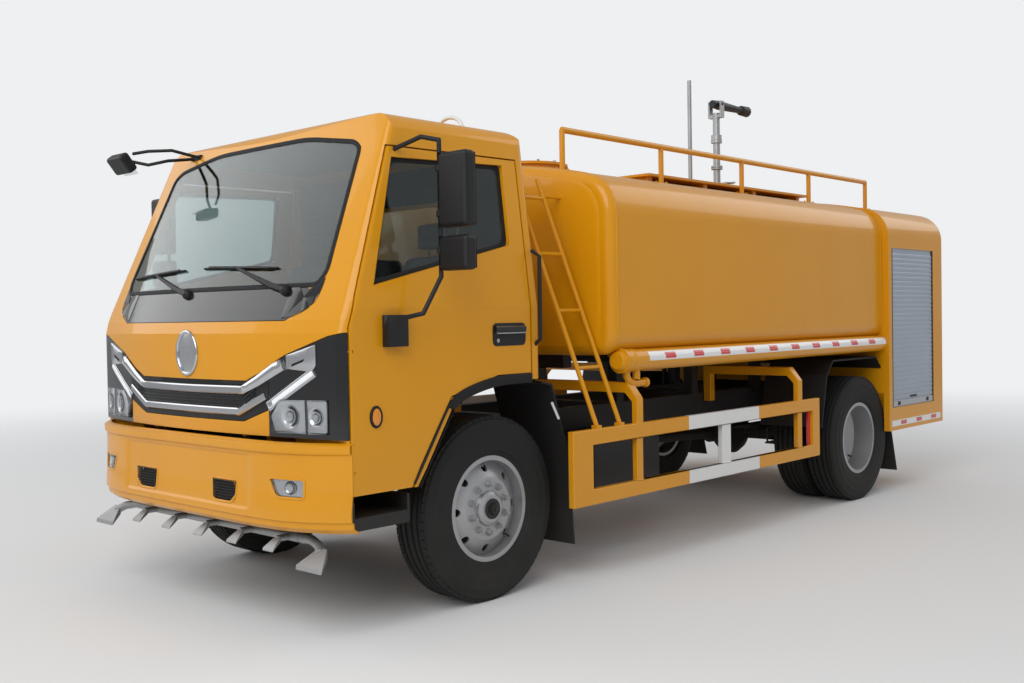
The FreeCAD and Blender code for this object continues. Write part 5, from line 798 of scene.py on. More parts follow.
columns = [bumper_wide * math.sin(math.pi * step / column_count)
           for step in range(-column_count // 2, column_count // 2 + 1)]
levels = [0.495 + 0.405 * step / level_count for step in range(level_count + 1)]
bm = bmesh.new()
outer, inner = ([[bm.verts.new(rule(x, z)) for z in levels] for x in columns]
                for rule in (bumper_point, bumper_wall_point))
skin(bm, [front + back[::-1] for front, back in zip(outer, inner)])
for end in (0, -1):
    for level in range(level_count):
        bm.faces.new((outer[end][level], outer[end][level + 1], inner[end][level + 1],
                      inner[end][level]))
cutter = bmesh.new()
for sign in (1, -1):
    for outline in (intake, fog):
        skin(cutter, [[cutter.verts.new((x, y, z)) for x, z in bumper_outline(sign, outline)]
                      for y in (-3.34, -3.20)], capped=True)
skin_holder, cut_holder = linked("skin_holder", mesh_of(bm)), linked("cut_holder", mesh_of(cutter))
hole = skin_holder.modifiers.new("holes", "BOOLEAN")
hole.operation, hole.solver, hole.object = "DIFFERENCE", "EXACT", cut_holder
bumper_mesh = applied(skin_holder)
bpy.data.objects.remove(cut_holder)
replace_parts(piece("bumper_skin", bumper_mesh, "amber_paint", "chassis", crisp=24), "front_bumper")
brackets = [(box, *sided(sign, low, high)) for _, sign in sides
            for low, high in (((0.345, -3.125, 0.66), (0.420, -3.080, 0.80)),
                              ((0.540, -3.264, 0.68), (0.580, -3.145, 0.72)))]
piece("bumper_beam", shape((box, (-0.90, -3.155, 0.66), (0.90, -3.120, 0.80)), *brackets), "frame_black",
      "chassis", 0.004)
print("bumper skin faces", len(bumper_mesh.polygons))

# %% [markdown]
# Each intake has a raised edge and black mesh behind it, and each fog lamp a
# bezel, a silver bowl and a clear cover. The edges are closed strips again, laid
# on the same rule that drew the skin. The mesh is grown along rows.

# %% Intakes and fog lamps
def bumper_look(depth=0.0):
    """Look that follows the bumper's rule, sunk by a depth."""
    def look(x, z):
        along = bumper_point(x + 0.004, z) - bumper_point(x - 0.004, z)
        return bumper_point(x, z) + Vector((0, depth, 0)), along.cross(Vector((0, 0, 1))).normalized()
    return look


mesh_bars, lamp_plate, lamp_cover, backs = bmesh.new(), bmesh.new(), bmesh.new(), bmesh.new()
for side, sign in sides:
    for label, outline in (("intake", intake), ("fog", fog)):
        strip_on("%s_edge_%s" % (label, side), bumper_outline(sign, outline), bumper_look(), 0.012,
                 0.0035, "amber_paint", "chassis", inset=-0.003)
    fog_here, intake_here = ([(sign * x, z) for x, z in outline] for outline in (fog, intake))
    plate(lamp_plate, bumper_look(0.016), fog_here, 0.002, 0.010)
    plate(lamp_cover, bumper_look(0.006), fog_here, 0.003, 0.010)
    # The plate behind each intake's mesh is near-black: painted shade filling the opening
    plate(backs, bumper_look(0.026), intake_here, 0.001, 0.002)
    turned(lamp_plate, [(0.001, 0), (0.002, 0.014), (0.006, 0.026), (0.009, 0.030), (0.002, 0.031)],
           *bumper_look(0.014)(sign * 0.82, 0.696), 32)
    for reach, count, start, step in (
            ((0.0016, 0.0015, 0.052), 13, (sign * 0.266, -3.2835, 0.650), (sign * 0.0155, 0, 0)),
            ((0.096, 0.0015, 0.0016), 8, (sign * 0.358, -3.2855, 0.601), (0, 0, 0.0135))):
        wire = shape((box, -Vector(reach), reach))
        mesh_bars.from_mesh(row(wire, count, start, step, "black_plastic"))
piece("intake_mesh", mesh_bars, "black_plastic", "chassis")
# near-black plates of painted shade behind the intake mesh
piece("intake_backs", backs, "dark_hole", "chassis")
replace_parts(piece("fog_reflectors", lamp_plate, "lamp_silver", "chassis"), "fog_lamps", "bumper_grilles")
piece("fog_covers", lamp_cover, "lamp_glass", "chassis")
print("bumper skin at the fog lamp", bumper_point(0.8, 0.7))

# %% [markdown]
# A door carries a sunken handle, a small oval side lamp ahead of it, and the mirrors
# on their bent tube. The mirrors' backs come from the frame; the glass that faces
# the driver is added here. All of it rides on the door, so it swings along. The
# right front roof corner has one more mirror, which looks down past the nose.

# %% Doors and mirrors
mirror_heads = ((1.865, 2.210), (1.665, 1.825))
handle_pocket = soft_outline([(-2.184, 1.300), (-1.940, 1.300), (-1.940, 1.416), (-2.184, 1.416)], 0.030)
side_lamp = [Vector((-2.953 + 0.030 * math.cos(a), 1.006 + 0.044 * math.sin(a))) for a in turns(24)]
for side, sign in sides:
    body, look = "door_" + side, side_of(sign, "door_" + side)
    pocket = shape((plate, look, handle_pocket, 0.004, 0.008))
    piece("handle_pocket_" + side, pocket, "black_plastic", body)
    # The thin silver strip under the handle is a painted highlight: it copies the bright line of light
    # along the lever
    for name, finish_name, front, back, z, width, height in (
            ("door_handle_", "gloss_black", -2.172, -1.952, 1.384, 0.034, 0.020),
            ("door_handle_trim_", "lamp_silver", -2.168, -1.954, 1.365, 0.009, 0.018)):
        handle = shape((band, look, [(front, z, width), (back, z, width)], height, 0.002))
        piece(name + side, handle, finish_name, body)
    lock = shape((turned, [(0, 0.010), (0.007, 0.010), (0.008, 0)], *look(-2.150, 1.328), 20))
    piece("door_lock_" + side, lock, "chrome_trim", body)
    strip_on("side_lamp_ring_" + side, side_lamp, look, 0.014, 0.008, "black_rubber", body)
    piece("side_lamp_" + side, shape((plate, look, side_lamp, 0.007, 0.006)), "amber_lens", body)
    glass = [(box, *sided(sign, (1.222, -2.5845, low + 0.016), (1.372, -2.5812, high - 0.016)))
             for low, high in mirror_heads]
    rims = [(box, *sided(sign, (1.216, -2.586, low + 0.009), (1.378, -2.5822, high - 0.009)))
            for low, high in mirror_heads]
    clamps = [(bar, *sided(sign, (1.200, -2.640, z - 0.014), (1.200, -2.640, z + 0.014)), 0.019)
              for z in (1.76, 1.93, 2.14)]
    piece("mirror_glass_" + side, shape(*glass), "mirror_face", body, 0.001)
    piece("mirror_rim_" + side, shape(*rims), "black_rubber", body, 0.001)
    piece("mirror_clamps_" + side, shape(*clamps), "black_plastic", body, 0.002)

root, _ = front_look(-0.66, 2.375)
tilted = Matrix.Rotation(math.radians(38), 4, "X")
arm = shape((box, root + Vector((-0.05, -0.012, -0.012)), root + Vector((0.05, 0.014, 0.016))),
            (tube, [root + Vector((0.03, 0, 0)), root + Vector((0.0, -0.16, 0.030)),
                    (-0.74, -3.02, 2.400), (-0.82, -3.07, 2.390)], 0.009),
            (tube, [root + Vector((-0.03, 0, 0)), root + Vector((-0.06, -0.15, -0.02)),
                    (-0.78, -3.00, 2.330), (-0.84, -3.07, 2.350)], 0.009))
piece("look_down_mirror_arm", arm, "black_plastic", "cab", 0.002)
piece("look_down_mirror_head", shape((box, (-0.985, -3.125, 2.285), (-0.815, -3.065, 2.395), tilted)),
      "black_plastic", "cab", 0.016)
piece("look_down_mirror_glass", shape((box, (-0.973, -3.066, 2.274), (-0.827, -3.060, 2.362), tilted)),
      "mirror_face", "cab", 0.004)

# %% [markdown]
# Black trim closes the cab's lower edge: a lip round the wheel arch, and a grab bar
# behind the door. On the roof stands a pale hoop. They are tubes and strips along
# a few points of the frame's own outline. Inside, a lining closes the rear wall round
# its pane, and another the roof.

# %% Arch lips, grab bars, roof hoop and linings
arch_line = [(-2.712, 0.668), (-2.660, 0.746), (-2.580, 0.868), (-2.520, 0.962), (-2.478, 1.020),
             (-2.440, 1.052), (-2.380, 1.078), (-2.280, 1.104), (-2.150, 1.126), (-2.02, 1.128),
             (-1.900, 1.128)]
grip_y, grip_line = -1.858, ((1.078, 1.30), (1.118, 1.33), (1.118, 1.76), (1.066, 1.79))
hoop_x, hoop_y, hoop_foot = 0.60, -1.99, 2.425


def rounded_line(line, times):
    """Open line whose corners are cut again and again."""
    line = [Vector(point) for point in line]
    for _ in range(times):
        cut = [point for a, b in zip(line, line[1:]) for point in (a.lerp(b, 0.25), a.lerp(b, 0.75))]
        line = [line[0], *cut, line[-1]]
    return line


def flank_look(side, sign):
    """Look at the flank's own height above the arch, carried down past its edge."""
    find = side_of(sign, "cab_shell", "door_" + side)
    return lambda y, z: (Vector((find(y, z + 0.07)[0].x, y, z)), Vector((sign, 0, 0)))


for side, sign in sides:
    edge = [(*point, 0.050) for point in rounded_line(arch_line, 3)]
    lip = shape((band, flank_look(side, sign), edge, 0.010, 0.030))
    piece("arch_lip_" + side, lip, "black_rubber", "cab")
    grip = [(sign * x, grip_y, z) for x, z in grip_line]
    piece("grab_bar_" + side, shape((tube, grip, 0.011)), "black_plastic", "cab")
hoop = [(hoop_x + 0.10 * math.cos(a), hoop_y, 2.455 + 0.075 * math.sin(a)) for a in turns(24)[:13]]
hoop = [(hoop[0][0], hoop_y, hoop_foot), *hoop, (hoop[-1][0], hoop_y, hoop_foot)]
piece("roof_hoop", shape((tube, hoop, 0.011)), "white_paint", "cab")
pane = [vert.co for vert in nodes["cab_windows"].data.vertices if vert.co.y > -2.2]
pane_x, pane_low, pane_high = (max(p.x for p in pane) + 0.02, min(p.z for p in pane) - 0.02,
                               max(p.z for p in pane) + 0.02)
lining = [(box, (x_low, -1.876, z_low), (x_high, -1.864, z_high)) for x_low, z_low, x_high, z_high in (
    (-0.90, 1.300, 0.90, pane_low), (-0.90, pane_high, 0.90, 2.300),
    (-0.90, pane_low, -pane_x, pane_high), (pane_x, pane_low, 0.90, pane_high))]
roof_lining = (box, (-0.80, -2.720, 2.350), (0.80, -1.900, 2.358))
piece("cab_linings", shape(*lining, roof_lining), "seat_fabric", "cab", 0.003)
print("rear pane half width", round(pane_x - 0.02, 3), "arch lip points", len(arch_line))

# %% [markdown]
# Seats are soft, so the frame's plain blocks are never shown. Each cushion starts as
# a finely cut box whose surface is pushed out to a rounded, crowned form: full in the
# middle, pulled in between its corners, with sewn channels across it. They are
# modelled rather than simulated, because a lorry's foam squab keeps its moulded shape.

# %% Seat cushions
def cushion(name, low, high, axis, crown, channels):
    """Crowned foam cushion between two corners."""
    middle, half = (Vector(low) + Vector(high)) / 2, (Vector(high) - Vector(low)) / 2
    bm = bmesh.new()
    bmesh.ops.create_cube(bm, size=2.0)
    bmesh.ops.subdivide_edges(bm, edges=bm.edges, cuts=23, use_grid_fill=True)
    wide, tall = [index for index in range(3) if index != axis]
    seams = [(tall, channel, 0.010) for channel in channels]
    seams += [(wide, channel, 0.008) for channel in (-0.55, 0.55)]
    for vert in bm.verts:
        unit, rounded = Vector(vert.co), Vector(vert.co)
        for index in range(3):
            a, b = unit[(index + 1) % 3] ** 6, unit[(index + 2) % 3] ** 6
            rounded[index] *= math.sqrt(max(0.0, 1 - 0.18 * a - 0.18 * b + 0.04 * a * b))
        place = Vector(rounded[index] * half[index] for index in range(3))
        if unit[axis] > 0.5:
            place[axis] += crown * (1 - rounded[wide] ** 2) * (1 - rounded[tall] ** 2)
            for index, channel, depth in seams:
                gap = (rounded[index] - channel) * half[index]
                place[axis] -= depth * math.exp(-(gap / 0.008) ** 2)
        pinch = 0.012 * (1 - unit[axis] ** 2)
        for index in (wide, tall):
            place[index] -= math.copysign(pinch, place[index]) * abs(rounded[index]) ** 4
        vert.co = middle + place
    made = piece(name, bm, "seat_fabric", "cab", crisp=80)
    return made


seats = (("driver", 0.285, 0.775), ("middle", -0.235, 0.215), ("mate", -0.775, -0.285))
posts = [(box, (-0.78, -2.55, 1.150), (0.78, -2.09, 1.180))]
for name, x_low, x_high in seats:
    squab = cushion("seat_squab_" + name, (x_low, -2.565, 1.175), (x_high, -2.085, 1.330), 2, 0.022,
                    (-0.35, 0.35))
    if name == "driver":
        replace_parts(squab, "seats")
    back = cushion("seat_back_" + name, (x_low + 0.01, 1.955, 1.325), (x_high - 0.01, 2.100, 1.790), 1,
                   0.018, (-0.35, 0.25))
    back.data.transform(Matrix.Scale(-1, 4, (0, 1, 0)))
    back.data.flip_normals()
    if name != "middle":
        cushion("head_rest_" + name, (x_low + 0.12, -2.085, 1.820), (x_high - 0.12, -1.975, 1.955), 2,
                0.006, ())
        posts += [(bar, (x, -2.03, 1.77), (x, -2.03, 1.84), 0.006, 12)
                  for x in (x_low + 0.18, x_high - 0.18)]
piece("seat_posts", shape(*posts), "dark_trim", "cab", 0.003)
print("seats", len(seats))

# %% [markdown]
# Through the glass the dashboard shows its shape: a hooded cluster before the wheel,
# a centre stack with vents, and a shelf. These are a few bevelled blocks
# on the frame's dashboard.

# %% Dashboard
hood = (box, (0.345, -3.000, 1.440), (0.695, -2.880, 1.515), Matrix.Rotation(0.15, 4, "X"))
stack = (box, (-0.16, -2.900, 1.235), (0.20, -2.845, 1.440), Matrix.Rotation(-0.08, 4, "X"))
vent_middles = (-0.82, -0.52, 0.34, 0.82)
vent_blocks = [(box, (x - 0.08, -2.905, 1.385), (x + 0.08, -2.860, 1.435)) for x in vent_middles]
piece("dash_cluster", shape(hood, stack, *vent_blocks), "dark_trim", "cab", 0.012)
vents = bmesh.new()
for x in vent_middles:
    slat = shape((box, (-0.070, -0.002, -0.0015), (0.070, 0.002, 0.0015)))
    vents.from_mesh(row(slat, 5, (x, -2.8585, 1.392), (0, 0, 0.009), "gloss_black"))
piece("dash_vents", vents, "gloss_black", "cab")
print("dash vents", len(vent_middles))

# %% [markdown]
# Cut sheet and castings have small radii along every edge. The frame's parts are
# sharp, so the ones that are seen close get a twin: the same mesh with its doubles
# merged and its flat faces joined, plus a Bevel modifier. The twin stands for the
# frame's part and rides on the same body. Size and place stay the same. The boxy
# mirror heads are taken off their tube and drawn again with round corners.

# %% Softened edges on frame parts
def merged_copy(node):
    """Frame part's mesh with its doubles merged, to draw on."""
    bm = bmesh.new()
    bm.from_mesh(nodes[node].data)
    bmesh.ops.remove_doubles(bm, verts=bm.verts, dist=2e-5)
    return bm


edge_widths = {"side_guards": 0.006, "cab_steps": 0.004, "battery_box": 0.010, "fuel_tank": 0.012,
               "tank_bearers": 0.004, "mudguards": 0.003, "roof_walkway": 0.004, "hatch_lid": 0.003,
               "monitor_head": 0.004, "monitor_barrel": 0.003, "knuckle_left": 0.004,
               "knuckle_right": 0.004, "engine_block": 0.012}
for node, width in edge_widths.items():
    bm = merged_copy(node)
    bmesh.ops.dissolve_limit(bm, angle_limit=math.radians(0.6), verts=bm.verts, edges=bm.edges)
    mesh = bpy.data.meshes.new(node + "_soft")
    bm.to_mesh(mesh)
    bm.free()
    mesh.materials.clear()
    mesh.materials.append(nodes[node].data.materials[0])
    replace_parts(piece(node + "_soft", mesh, None, body_of[node], width), node)

for side, sign in sides:
    bm = merged_copy("mirror_" + side)
    heads = [vert for vert in bm.verts if abs(vert.co.x) > 1.19 and 1.660 < vert.co.z < 2.215
             and (vert.co.y < -2.6530 or vert.co.y > -2.6275 or abs(vert.co.x) > 1.225)]
    print("mirror head corners taken off", side, len(heads))
    bmesh.ops.delete(bm, geom=heads, context="VERTS")
    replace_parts(piece("mirror_tubes_" + side, bm, "black_plastic", "door_" + side), "mirror_" + side)
    heads = [(box, *sided(sign, (1.198, -2.658, low), (1.385, -2.582, high)))
             for low, high in mirror_heads]
    piece("mirror_heads_" + side, shape(*heads), "black_plastic", "door_" + side, 0.022)

# %% [markdown]
# The tank is rolled from sheet and closed by a dished head, so it shows a weld seam
# where the two meet, and another where it joins the rear box. Rays cast at the tank
# from all round give the section, whatever its shape. The seam is a thin bead on
# it, and the dish is the same section drawn smaller and smaller towards its middle.

# %% Tank seams and dished head
tank_find, tank_z, head_y = panel("water_tank"), 1.78, -1.290


def tank_section(y):
    """Points round the tank at one place along it."""
    ways = [Vector((math.cos(a), 0, math.sin(a))) for a in turns(120)]
    return [tank_find(Vector((0, y, tank_z)) + way * 3, -way)[0] for way in ways]


beads = bmesh.new()
for y, radius in ((-1.234, 0.0055), (2.176, 0.0040)):
    middle = Vector((0, y, tank_z))
    bead(beads, [(point, Vector((0, radius * 1.6, 0)), (point - middle).normalized() * radius)
                 for point in tank_section(y)], 8)
piece("tank_weld_beads", beads, "amber_paint", "chassis", crisp=80)
dish, section, rings = bmesh.new(), tank_section(-1.20), []
for share in (0.935, 0.92, 0.90, 0.86, 0.80, 0.70, 0.58, 0.44, 0.30, 0.16):
    rise = -0.002 if share > 0.93 else 0.004 + 0.034 * (1 - (share / 0.93) ** 2.2)
    rings.append([dish.verts.new((point.x * share, head_y - rise, tank_z + (point.z - tank_z) * share))
                  for point in section])
skin(dish, rings + [[dish.verts.new((0, head_y - 0.039, tank_z))]])
dish_mesh = mesh_of(dish)
if dish_mesh.polygons[0].normal.y > 0:
    dish_mesh.flip_normals()
piece("tank_dished_head", dish_mesh, "amber_paint", "chassis", crisp=60)
print("tank section width", round(max(point.x for point in section) * 2, 3), "m")

# %% [markdown]
# Reflective tape runs along the side tube and along the foot of the rear box: white
# with red dashes. The white is three narrow strips side by side, so that it follows
# the tube, and one red dash is drawn in place and then grown along a row at even
# steps, because the tube and the box are straight.

# %% Reflective tape
dash_length, dash_step = 0.105, 0.30
tape_runs = (("tube", "side_tubes", -0.99, 2.17, 1.206, 0.050, -0.83, 10),
             ("box", "equipment_box", 2.235, 3.20, 0.545, 0.046, 2.40, 3))
for side, sign in sides:
    for label, node, start, stop, z, width, first, count in tape_runs:
        look = side_of(sign, node)
        white = [(band, look, [(y, z + part * width / 3, width * 0.36) for y in (start, stop)],
                  0.0016, 0.001, 0.2) for part in (-1, 0, 1)]
        red = [(band, look, [(y, z + part * width / 6, width * 0.36)
                             for y in (first, first + dash_length)], 0.0026, 0.0005, 0.2)
               for part in (-1, 1)]
        piece("%s_tape_%s" % (label, side), shape(*white), "tape_white", "chassis")
        dashes = row(shape(*red), count, (0, 0, 0), (0, dash_step, 0), "tape_red")
        piece("%s_tape_dashes_%s" % (label, side), dashes, "tape_red", "chassis")
print("red dashes on each side", sum(run[-1] for run in tape_runs))

# %% [markdown]
# A roller shutter is a curtain of hooked slats that runs in side channels, with a
# stiff foot rail and two latches. One slat has a low crowned section, and a row of
# thirty-two closes the opening. The same is done for both sides and the rear.

# %% Roller shutters
shutter_foot, shutter_head, slat_pitch = 0.728, 1.930, 0.0365
slat_count = int((shutter_head - shutter_foot) / slat_pitch)
slat_section = [(-0.004, 0.001), (0.0005, 0.001), (0.0035, 0.006), (0.0045, 0.018), (0.0035, 0.030),
                (0.0005, 0.0355), (-0.004, 0.0355)]
for label, turn, place, half in (("left", 0.0, (1.1955, 2.6575, 0), 0.3875),
                                 ("right", math.pi, (-1.1955, 2.6575, 0), 0.3875),
                                 ("rear", math.pi / 2, (0, 3.2905, 0), 0.740)):
    stand = Matrix.Translation(place) @ Matrix.Rotation(turn, 4, "Z")
    slat = bmesh.new()
    skin(slat, [[slat.verts.new((x, y, z)) for x, z in slat_section] for y in (-half, half)],
         capped=True)
    curtain = row(slat, slat_count, (0, 0, shutter_foot), (0, 0, slat_pitch), "shutter_grey")
    curtain.transform(stand)
    piece("shutter_slats_" + label, curtain, "shutter_grey", "chassis")
    channels = [(box, (0.002, -0.06, 0.736), (0.0092, 0.06, 0.752))]
    for end in (-1, 1):
        latch = end * half * 0.72
        channels += [(box, (-0.006, end * (half - 0.002), 0.674), (0.007, end * (half + 0.018), 1.932)),
                     (box, (0.002, latch - 0.022, 0.684), (0.0090, latch + 0.022, 0.716))]
    foot_rail = [(box, (-0.004, -half, 0.676), (0.0065, half, 0.724))]
    for name, strokes, finish_name, bevel in (("foot_rail", foot_rail, "lamp_silver", 0.003),
                                              ("channels", channels, "black_plastic", 0.002)):
        bm = shape(*strokes)
        bmesh.ops.transform(bm, matrix=stand, verts=bm.verts)
        piece("shutter_%s_%s" % (name, label), bm, finish_name, "chassis", bevel)
print("slats in each shutter", slat_count)

# %% [markdown]
# The walkway on the tank is tread plate: small raised lozenges that point two ways
# in turn. So many would be slow to place by hand, so one pair is grown into a row,
# and the row into a field. Each lozenge has only a few faces. The rails stand on
# bolted feet that lie on the tank, where a ray from above finds it.

# %% Tread plate and rail feet
across_count, along_count, tread_pitch = 18, 37, 0.058
pair = bmesh.new()
for shift, angle in ((0.0, 0.6), (0.028, -0.6)):
    place = Matrix.Translation((shift, shift, 0)) @ Matrix.Rotation(angle, 4, "Z")
    bmesh.ops.create_cone(pair, cap_ends=True, segments=6, radius1=0.5, radius2=0.36, depth=1.0,
                          matrix=place @ Matrix.Diagonal((0.024, 0.008, 0.0022, 1.0)))
low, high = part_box("roof_walkway")
one_row = bmesh.new()
corner = (low.x + 0.05, low.y + 0.04, high.z + 0.0008)
one_row.from_mesh(row(pair, across_count, corner, (tread_pitch, 0, 0), "amber_paint"))
field = row(one_row, along_count, (0, 0, 0), (0, tread_pitch, 0), "amber_paint")
piece("walkway_tread", field, "amber_paint", "chassis")
top_find = panel("water_tank", "equipment_box")
foot_x, foot_places = 0.64, (-1.09, -0.0675, 0.955, 1.9775, 3.0)
feet = bmesh.new()
for sign in (1, -1):
    for y in foot_places:
        spot, normal = top_find((sign * foot_x, y, 3.0), (0, 0, -1))
        tilt = normal.to_track_quat("Z", "Y").to_matrix().to_4x4()
        box(feet, spot + Vector((-0.035, -0.035, -0.003)), spot + Vector((0.035, 0.035, 0.006)), tilt)
        for a, b in ((1, 1), (-1, 1), (1, -1), (-1, -1)):
            foot = spot + tilt @ Vector((a * 0.024, b * 0.024, 0.006))
            bar(feet, foot, foot + normal * 0.007, 0.0065, 6)
piece("rail_feet", feet, "amber_paint", "chassis", 0.001)
print("lozenges", 2 * across_count * along_count)

# %% [markdown]
# Round the tank's hatch, the water gun and the axles sit the bolts and clamps that
# hold them. The ring tree places them. Springs are tied to the axles by U bolts,
# which are tubes bent over the leaves.

# %% Hatch, water gun and springs
def bolt_ring(name, count, radius, centre, bolt_radius, height, body):
    """Ring of hexagon bolts on washers that look up."""
    bolt = shape((bar, (0, 0, -0.002), (0, 0, 0.002), bolt_radius * 1.35, 14),
                 (bar, (0, 0, 0.002), (0, 0, height), bolt_radius, 6))
    mesh = grown(ring_tree, bolt, "galvanised", Count=count, Radius=radius)
    mesh.transform(Matrix.Translation(centre))
    piece(name, mesh, "galvanised", body)


hatch_y, gun_y, valve_z = -0.700, 1.640, 2.50
bolt_ring("hatch_bolts", 12, 0.245, (0, hatch_y, 2.4435), 0.010, 0.012, "hatch_lid")
bolt_ring("water_gun_foot_bolts", 6, 0.070, (0, gun_y, 2.409), 0.008, 0.010, "chassis")
flanges = [(turned, drum(0.014, 0.046), (0, gun_y, z), (0, 0, 1), 28) for z in (2.62, 2.636)]
spokes = [(bar, (x_low, gun_y - reach, valve_z), (x_high, gun_y + reach, valve_z), radius, count)
          for x_low, x_high, reach, radius, count in (
              (0.07, 0.17, 0, 0.007, 12), (0.12, 0.12, 0.05, 0.007, 12), (0.0, 0.125, 0, 0.010, 14))]
piece("water_gun_flanges", shape(*flanges, *spokes), "galvanised", "chassis", 0.0015)
bolts = bmesh.new()
for y, z_top, z_low in ((front_y, 0.585, 0.375), (rear_y, 0.655, 0.385)):
    bend = [(-0.044, z_low), (-0.044, z_top), (-0.030, z_top + 0.014), (0.030, z_top + 0.014),
            (0.044, z_top), (0.044, z_low)]
    for x in (0.420, -0.420):
        for shift in (-0.055, 0.055):
            tube(bolts, [(x + across, y + shift, z) for across, z in bend], 0.008, 10)
        box(bolts, (x - 0.055, y - 0.075, z_low), (x + 0.055, y + 0.075, z_low + 0.014))
piece("spring_u_bolts", bolts, "cast_metal", "chassis")

# %% [markdown]
# Low on the chassis: straps and a filler on the fuel tank, a ribbed lid on the
# battery box, and mud flaps behind the rear wheels. Round the rear lamps the lens is
# split into its colours. In front, the spray bar gets flat fan nozzles in pale metal.

# %% Chassis fittings, lamps and nozzles
strap_runs = ((-0.966, 0.322, -0.424, 0.330), (-0.968, 0.392, -0.960, 0.718),
              (-0.900, 0.780, -0.424, 0.788))
straps = [(box, (x_low, y - 0.022, z_low), (x_high, y + 0.022, z_high)) for y in (-0.80, -0.30)
          for x_low, z_low, x_high, z_high in strap_runs]
piece("fuel_tank_straps", shape(*straps), "frame_black", "chassis", 0.002)
filler = [(0, 0), (0, 0.045), (0.030, 0.045), (0.034, 0.052), (0.060, 0.052), (0.066, 0.044), (0.066, 0)]
filler = shape((turned, filler, (-0.80, -0.62, 0.776), (0, 0, 1), 32))
piece("fuel_filler", filler, "black_plastic", "chassis", 0.002)
rib = shape((box, (0.440, -0.006, 0.718), (0.880, 0.006, 0.724)))
ribs = row(rib, 10, (0, -1.095, 0), (0, 0.060, 0), "black_plastic")
piece("battery_lid_ribs", ribs, "black_plastic", "chassis")
flap_top, flap_slant = 0.500, 0.30
flaps = shape(*((box, *sided(sign, (0.655, 2.345, 0.150), (1.145, 2.354, flap_top)))
                for _, sign in sides))
for vert in flaps.verts:
    vert.co.y += flap_slant * (flap_top - vert.co.z)
piece("rear_mud_flaps", flaps, "black_rubber", "chassis", 0.003)
for name, finish_name, low, high in (
        ("rear_lamp_housings", "black_plastic", (0.880, 3.281, 0.560), (1.120, 3.293, 0.650)),
        ("rear_lens_turn", "amber_lens", (1.045, 3.290, 0.567), (1.115, 3.2998, 0.643)),
        ("rear_lens_stop", "red_lens", (0.960, 3.290, 0.567), (1.038, 3.2998, 0.643)),
        ("rear_lens_back", "tape_white", (0.885, 3.290, 0.567), (0.953, 3.2998, 0.643))):
    both = shape(*((box, *sided(sign, low, high)) for _, sign in sides))
    lamp = piece(name, both, finish_name, "chassis", 0.003)
    if name == "rear_lamp_housings":
        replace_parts(lamp, "rear_lamps")


def funnel(bm, x, sign, *ends):
    """Flat nozzle about x, each end with its half width and its y and z below and above."""
    skin(bm, [[bm.verts.new((x + sign * across, *level))
               for across, level in ((-half, low), (half, low), (half, high), (-half, high))]
              for half, low, high in ends], capped=True)


spray_look, tips, found = front_of("spray_bar"), bmesh.new(), []
for x in (step / 100 for step in range(-72, 73)):
    point, _ = spray_look(x, 0.44)
    if point is not None and point.y < -3.195 and (not found or x - found[-1] > 0.1):
        found.append(x)
        funnel(tips, x + 0.016, 1, (0.018, (-3.190, 0.426), (-3.190, 0.454)),
               (0.042, (-3.255, 0.390), (-3.250, 0.404)))
for _, sign in sides:
    tube(tips, sided(sign, (0.700, -3.110, 0.440), (0.800, -3.110, 0.440), (0.880, -3.130, 0.425),
                     (0.930, -3.160, 0.400)), 0.022, 16)
    funnel(tips, sign * 0.935, sign, (0.030, (-3.150, 0.375), (-3.150, 0.425)),
           (0.095, (-3.235, 0.330), (-3.230, 0.352)))
piece("fan_nozzles", tips, "galvanised", "chassis", 0.003)
print("nozzles found at x", found)

# %% [markdown]
# At the front of each side tube sits the drain: a stubby valve drum with a clamped
# end cap, and an elbow that lets the water out behind the ladder. A pale reflector
# stick marks the front mudguard's edge. The guard has a wide plate at its front end
# and a red reflector at its rear end.

# %% Side tube drains and reflectors
valve_drum = [(0, 0), (0, 0.046), (0.012, 0.056), (0.030, 0.060), (0.030, 0.072), (0.046, 0.072),
              (0.046, 0.066), (0.150, 0.066), (0.150, 0.060)]
tube_x, tube_z, elbow_z = 1.118, 1.186, 1.052
elbow_line = ((-1.120, 1.150), (-1.120, 1.095), (-1.095, 1.062), (-1.050, elbow_z), (-0.940, elbow_z))
for side, sign in sides:
    x = sign * tube_x
    drain = shape((turned, valve_drum, (x, -1.215, tube_z), (0, 1, 0), 36),
                  (tube, [(x, y, z) for y, z in elbow_line], 0.022, 16),
                  (turned, drum(0.022, 0.029), (x, -0.955, elbow_z), (0, 1, 0), 24))
    piece("tube_drain_" + side, drain, "amber_paint", "chassis", 0.0015)
    stick = (bar, *sided(sign, (1.074, -1.725, 0.985), (1.074, -1.672, 0.895)), 0.007, 10)
    piece("mudguard_stick_" + side, shape(stick), "tape_white", "chassis")
    end_plate = (box, *sided(sign, (1.150, -1.640, 0.470), (1.189, -1.520, 0.800)))
    piece("guard_end_plate_" + side, shape(end_plate), "amber_paint", "chassis", 0.003)
    reflector = (box, *sided(sign, (1.150, 0.930, 0.480), (1.166, 0.962, 0.790)))
    piece("guard_reflector_" + side, shape(reflector), "tape_red", "chassis", 0.002)
print("drains at x", [sign * tube_x for _, sign in sides])

# %% [markdown]
# The stage is one wide pale floor. Where the camera looks past the truck, or through
# its glass, floor and world show the same pale tone, so no horizon cuts the
# picture. That tone is added only for those rays and lights nothing. The lamps are
# large and soft, and set so that a colour renders about as it is written. The
# camera stands where the photograph was taken from.

# %% Floor, lamps and camera
background = (0.86, 0.87, 0.88, 1)


def seen_directly(tree):
    """1 for rays that show the background, 0 for rays that light the truck."""
    path = tree.nodes.new("ShaderNodeLightPath").outputs
    return math_of(tree, "MAXIMUM", path["Is Camera Ray"], path["Is Transmission Ray"])


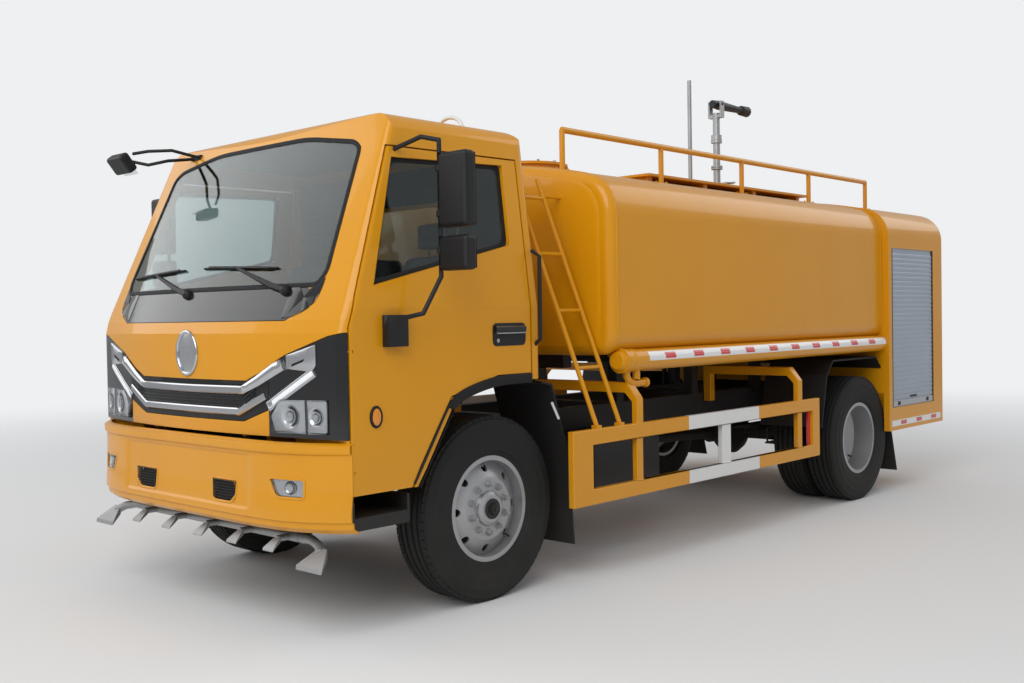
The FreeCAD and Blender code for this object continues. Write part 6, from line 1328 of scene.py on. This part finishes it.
floor_profile = [(0.0, radius) for radius in (0, 5, 10, 20, 40, 80)]
floor_drawn = shape((turned, floor_profile, (0, 0, -0.0005), (0, 0, 1), 64))
floor = linked("floor", mesh_of(floor_drawn, "floor"))
floor_look = bpy.data.materials.new("pale_floor")
floor_look.use_nodes = True
tree = floor_look.node_tree
ground = feed(tree, tree.nodes["Principled BSDF"],
              {"Base Color": (0.80, 0.80, 0.80, 1), "Roughness": 0.9, "Specular IOR Level": 0.1})
plain = add(tree, "ShaderNodeEmission", {"Color": background})
distance = add(tree, "ShaderNodeVectorMath", {0: tree.nodes.new("ShaderNodeTexCoord").outputs["Object"]},
               operation="LENGTH")
reach = add(tree, "ShaderNodeMapRange",
            {"From Min": 4.5, "From Max": 15.0, "Value": distance.outputs["Value"]},
            interpolation_type="SMOOTHSTEP")
blend = add(tree, "ShaderNodeMixShader", {
    0: math_of(tree, "MULTIPLY", reach.outputs["Result"], seen_directly(tree)), 1: ground.outputs[0],
    2: plain.outputs[0]})
feed(tree, tree.nodes["Material Output"], {"Surface": blend.outputs[0]})
floor.data.materials.append(floor_look)

world = bpy.data.worlds.new("studio")
bpy.context.scene.world = world
world.use_nodes = True
tree = world.node_tree
sky = feed(tree, tree.nodes["Background"], {"Color": (0.96, 0.98, 1.0, 1), "Strength": 0.50})
shown = add(tree, "ShaderNodeBackground", {"Color": background})
blend = add(tree, "ShaderNodeMixShader",
            {0: seen_directly(tree), 1: sky.outputs[0], 2: shown.outputs[0]})
feed(tree, tree.nodes["World Output"], {"Surface": blend.outputs[0]})
for name, place, size, power in (("key", (4.5, -10.5, 8.5), 10.0, 800),
                                 ("fill", (-10.0, -7.5, 6.5), 9.0, 300),
                                 ("back", (4.0, 11.0, 9.0), 9.0, 260)):
    lamp = bpy.data.lights.new(name, "AREA")
    lamp.shape, lamp.size, lamp.energy = "DISK", size, power
    way = Vector((0, 0, 1.2)) - Vector(place)
    linked(name, lamp).matrix_world = (Matrix.Translation(place)
                                       @ way.to_track_quat("-Z", "Y").to_matrix().to_4x4())

camera_place, focal_length = (4.9041, -6.1678, 1.4531), 38.70
yaw, pitch, roll = 0.7468, 0.0236, -0.0171
ahead = Vector((-math.sin(yaw) * math.cos(pitch), math.cos(yaw) * math.cos(pitch), -math.sin(pitch)))
right = Vector((math.cos(yaw), math.sin(yaw), 0))
above = right.cross(ahead)
right, above = (math.cos(roll) * right + math.sin(roll) * above,
                math.cos(roll) * above - math.sin(roll) * right)
camera_data = bpy.data.cameras.new("camera")
camera_data.sensor_width, camera_data.lens, camera_data.clip_end = 36.0, focal_length, 200
camera = linked("camera", camera_data)
camera.matrix_world = (Matrix.Translation(camera_place)
                       @ Matrix((right, above, -ahead)).transposed().to_4x4())
bpy.context.scene.camera = camera
bpy.context.scene.view_settings.view_transform = "Standard"
print("camera lens", camera_data.lens, "mm")
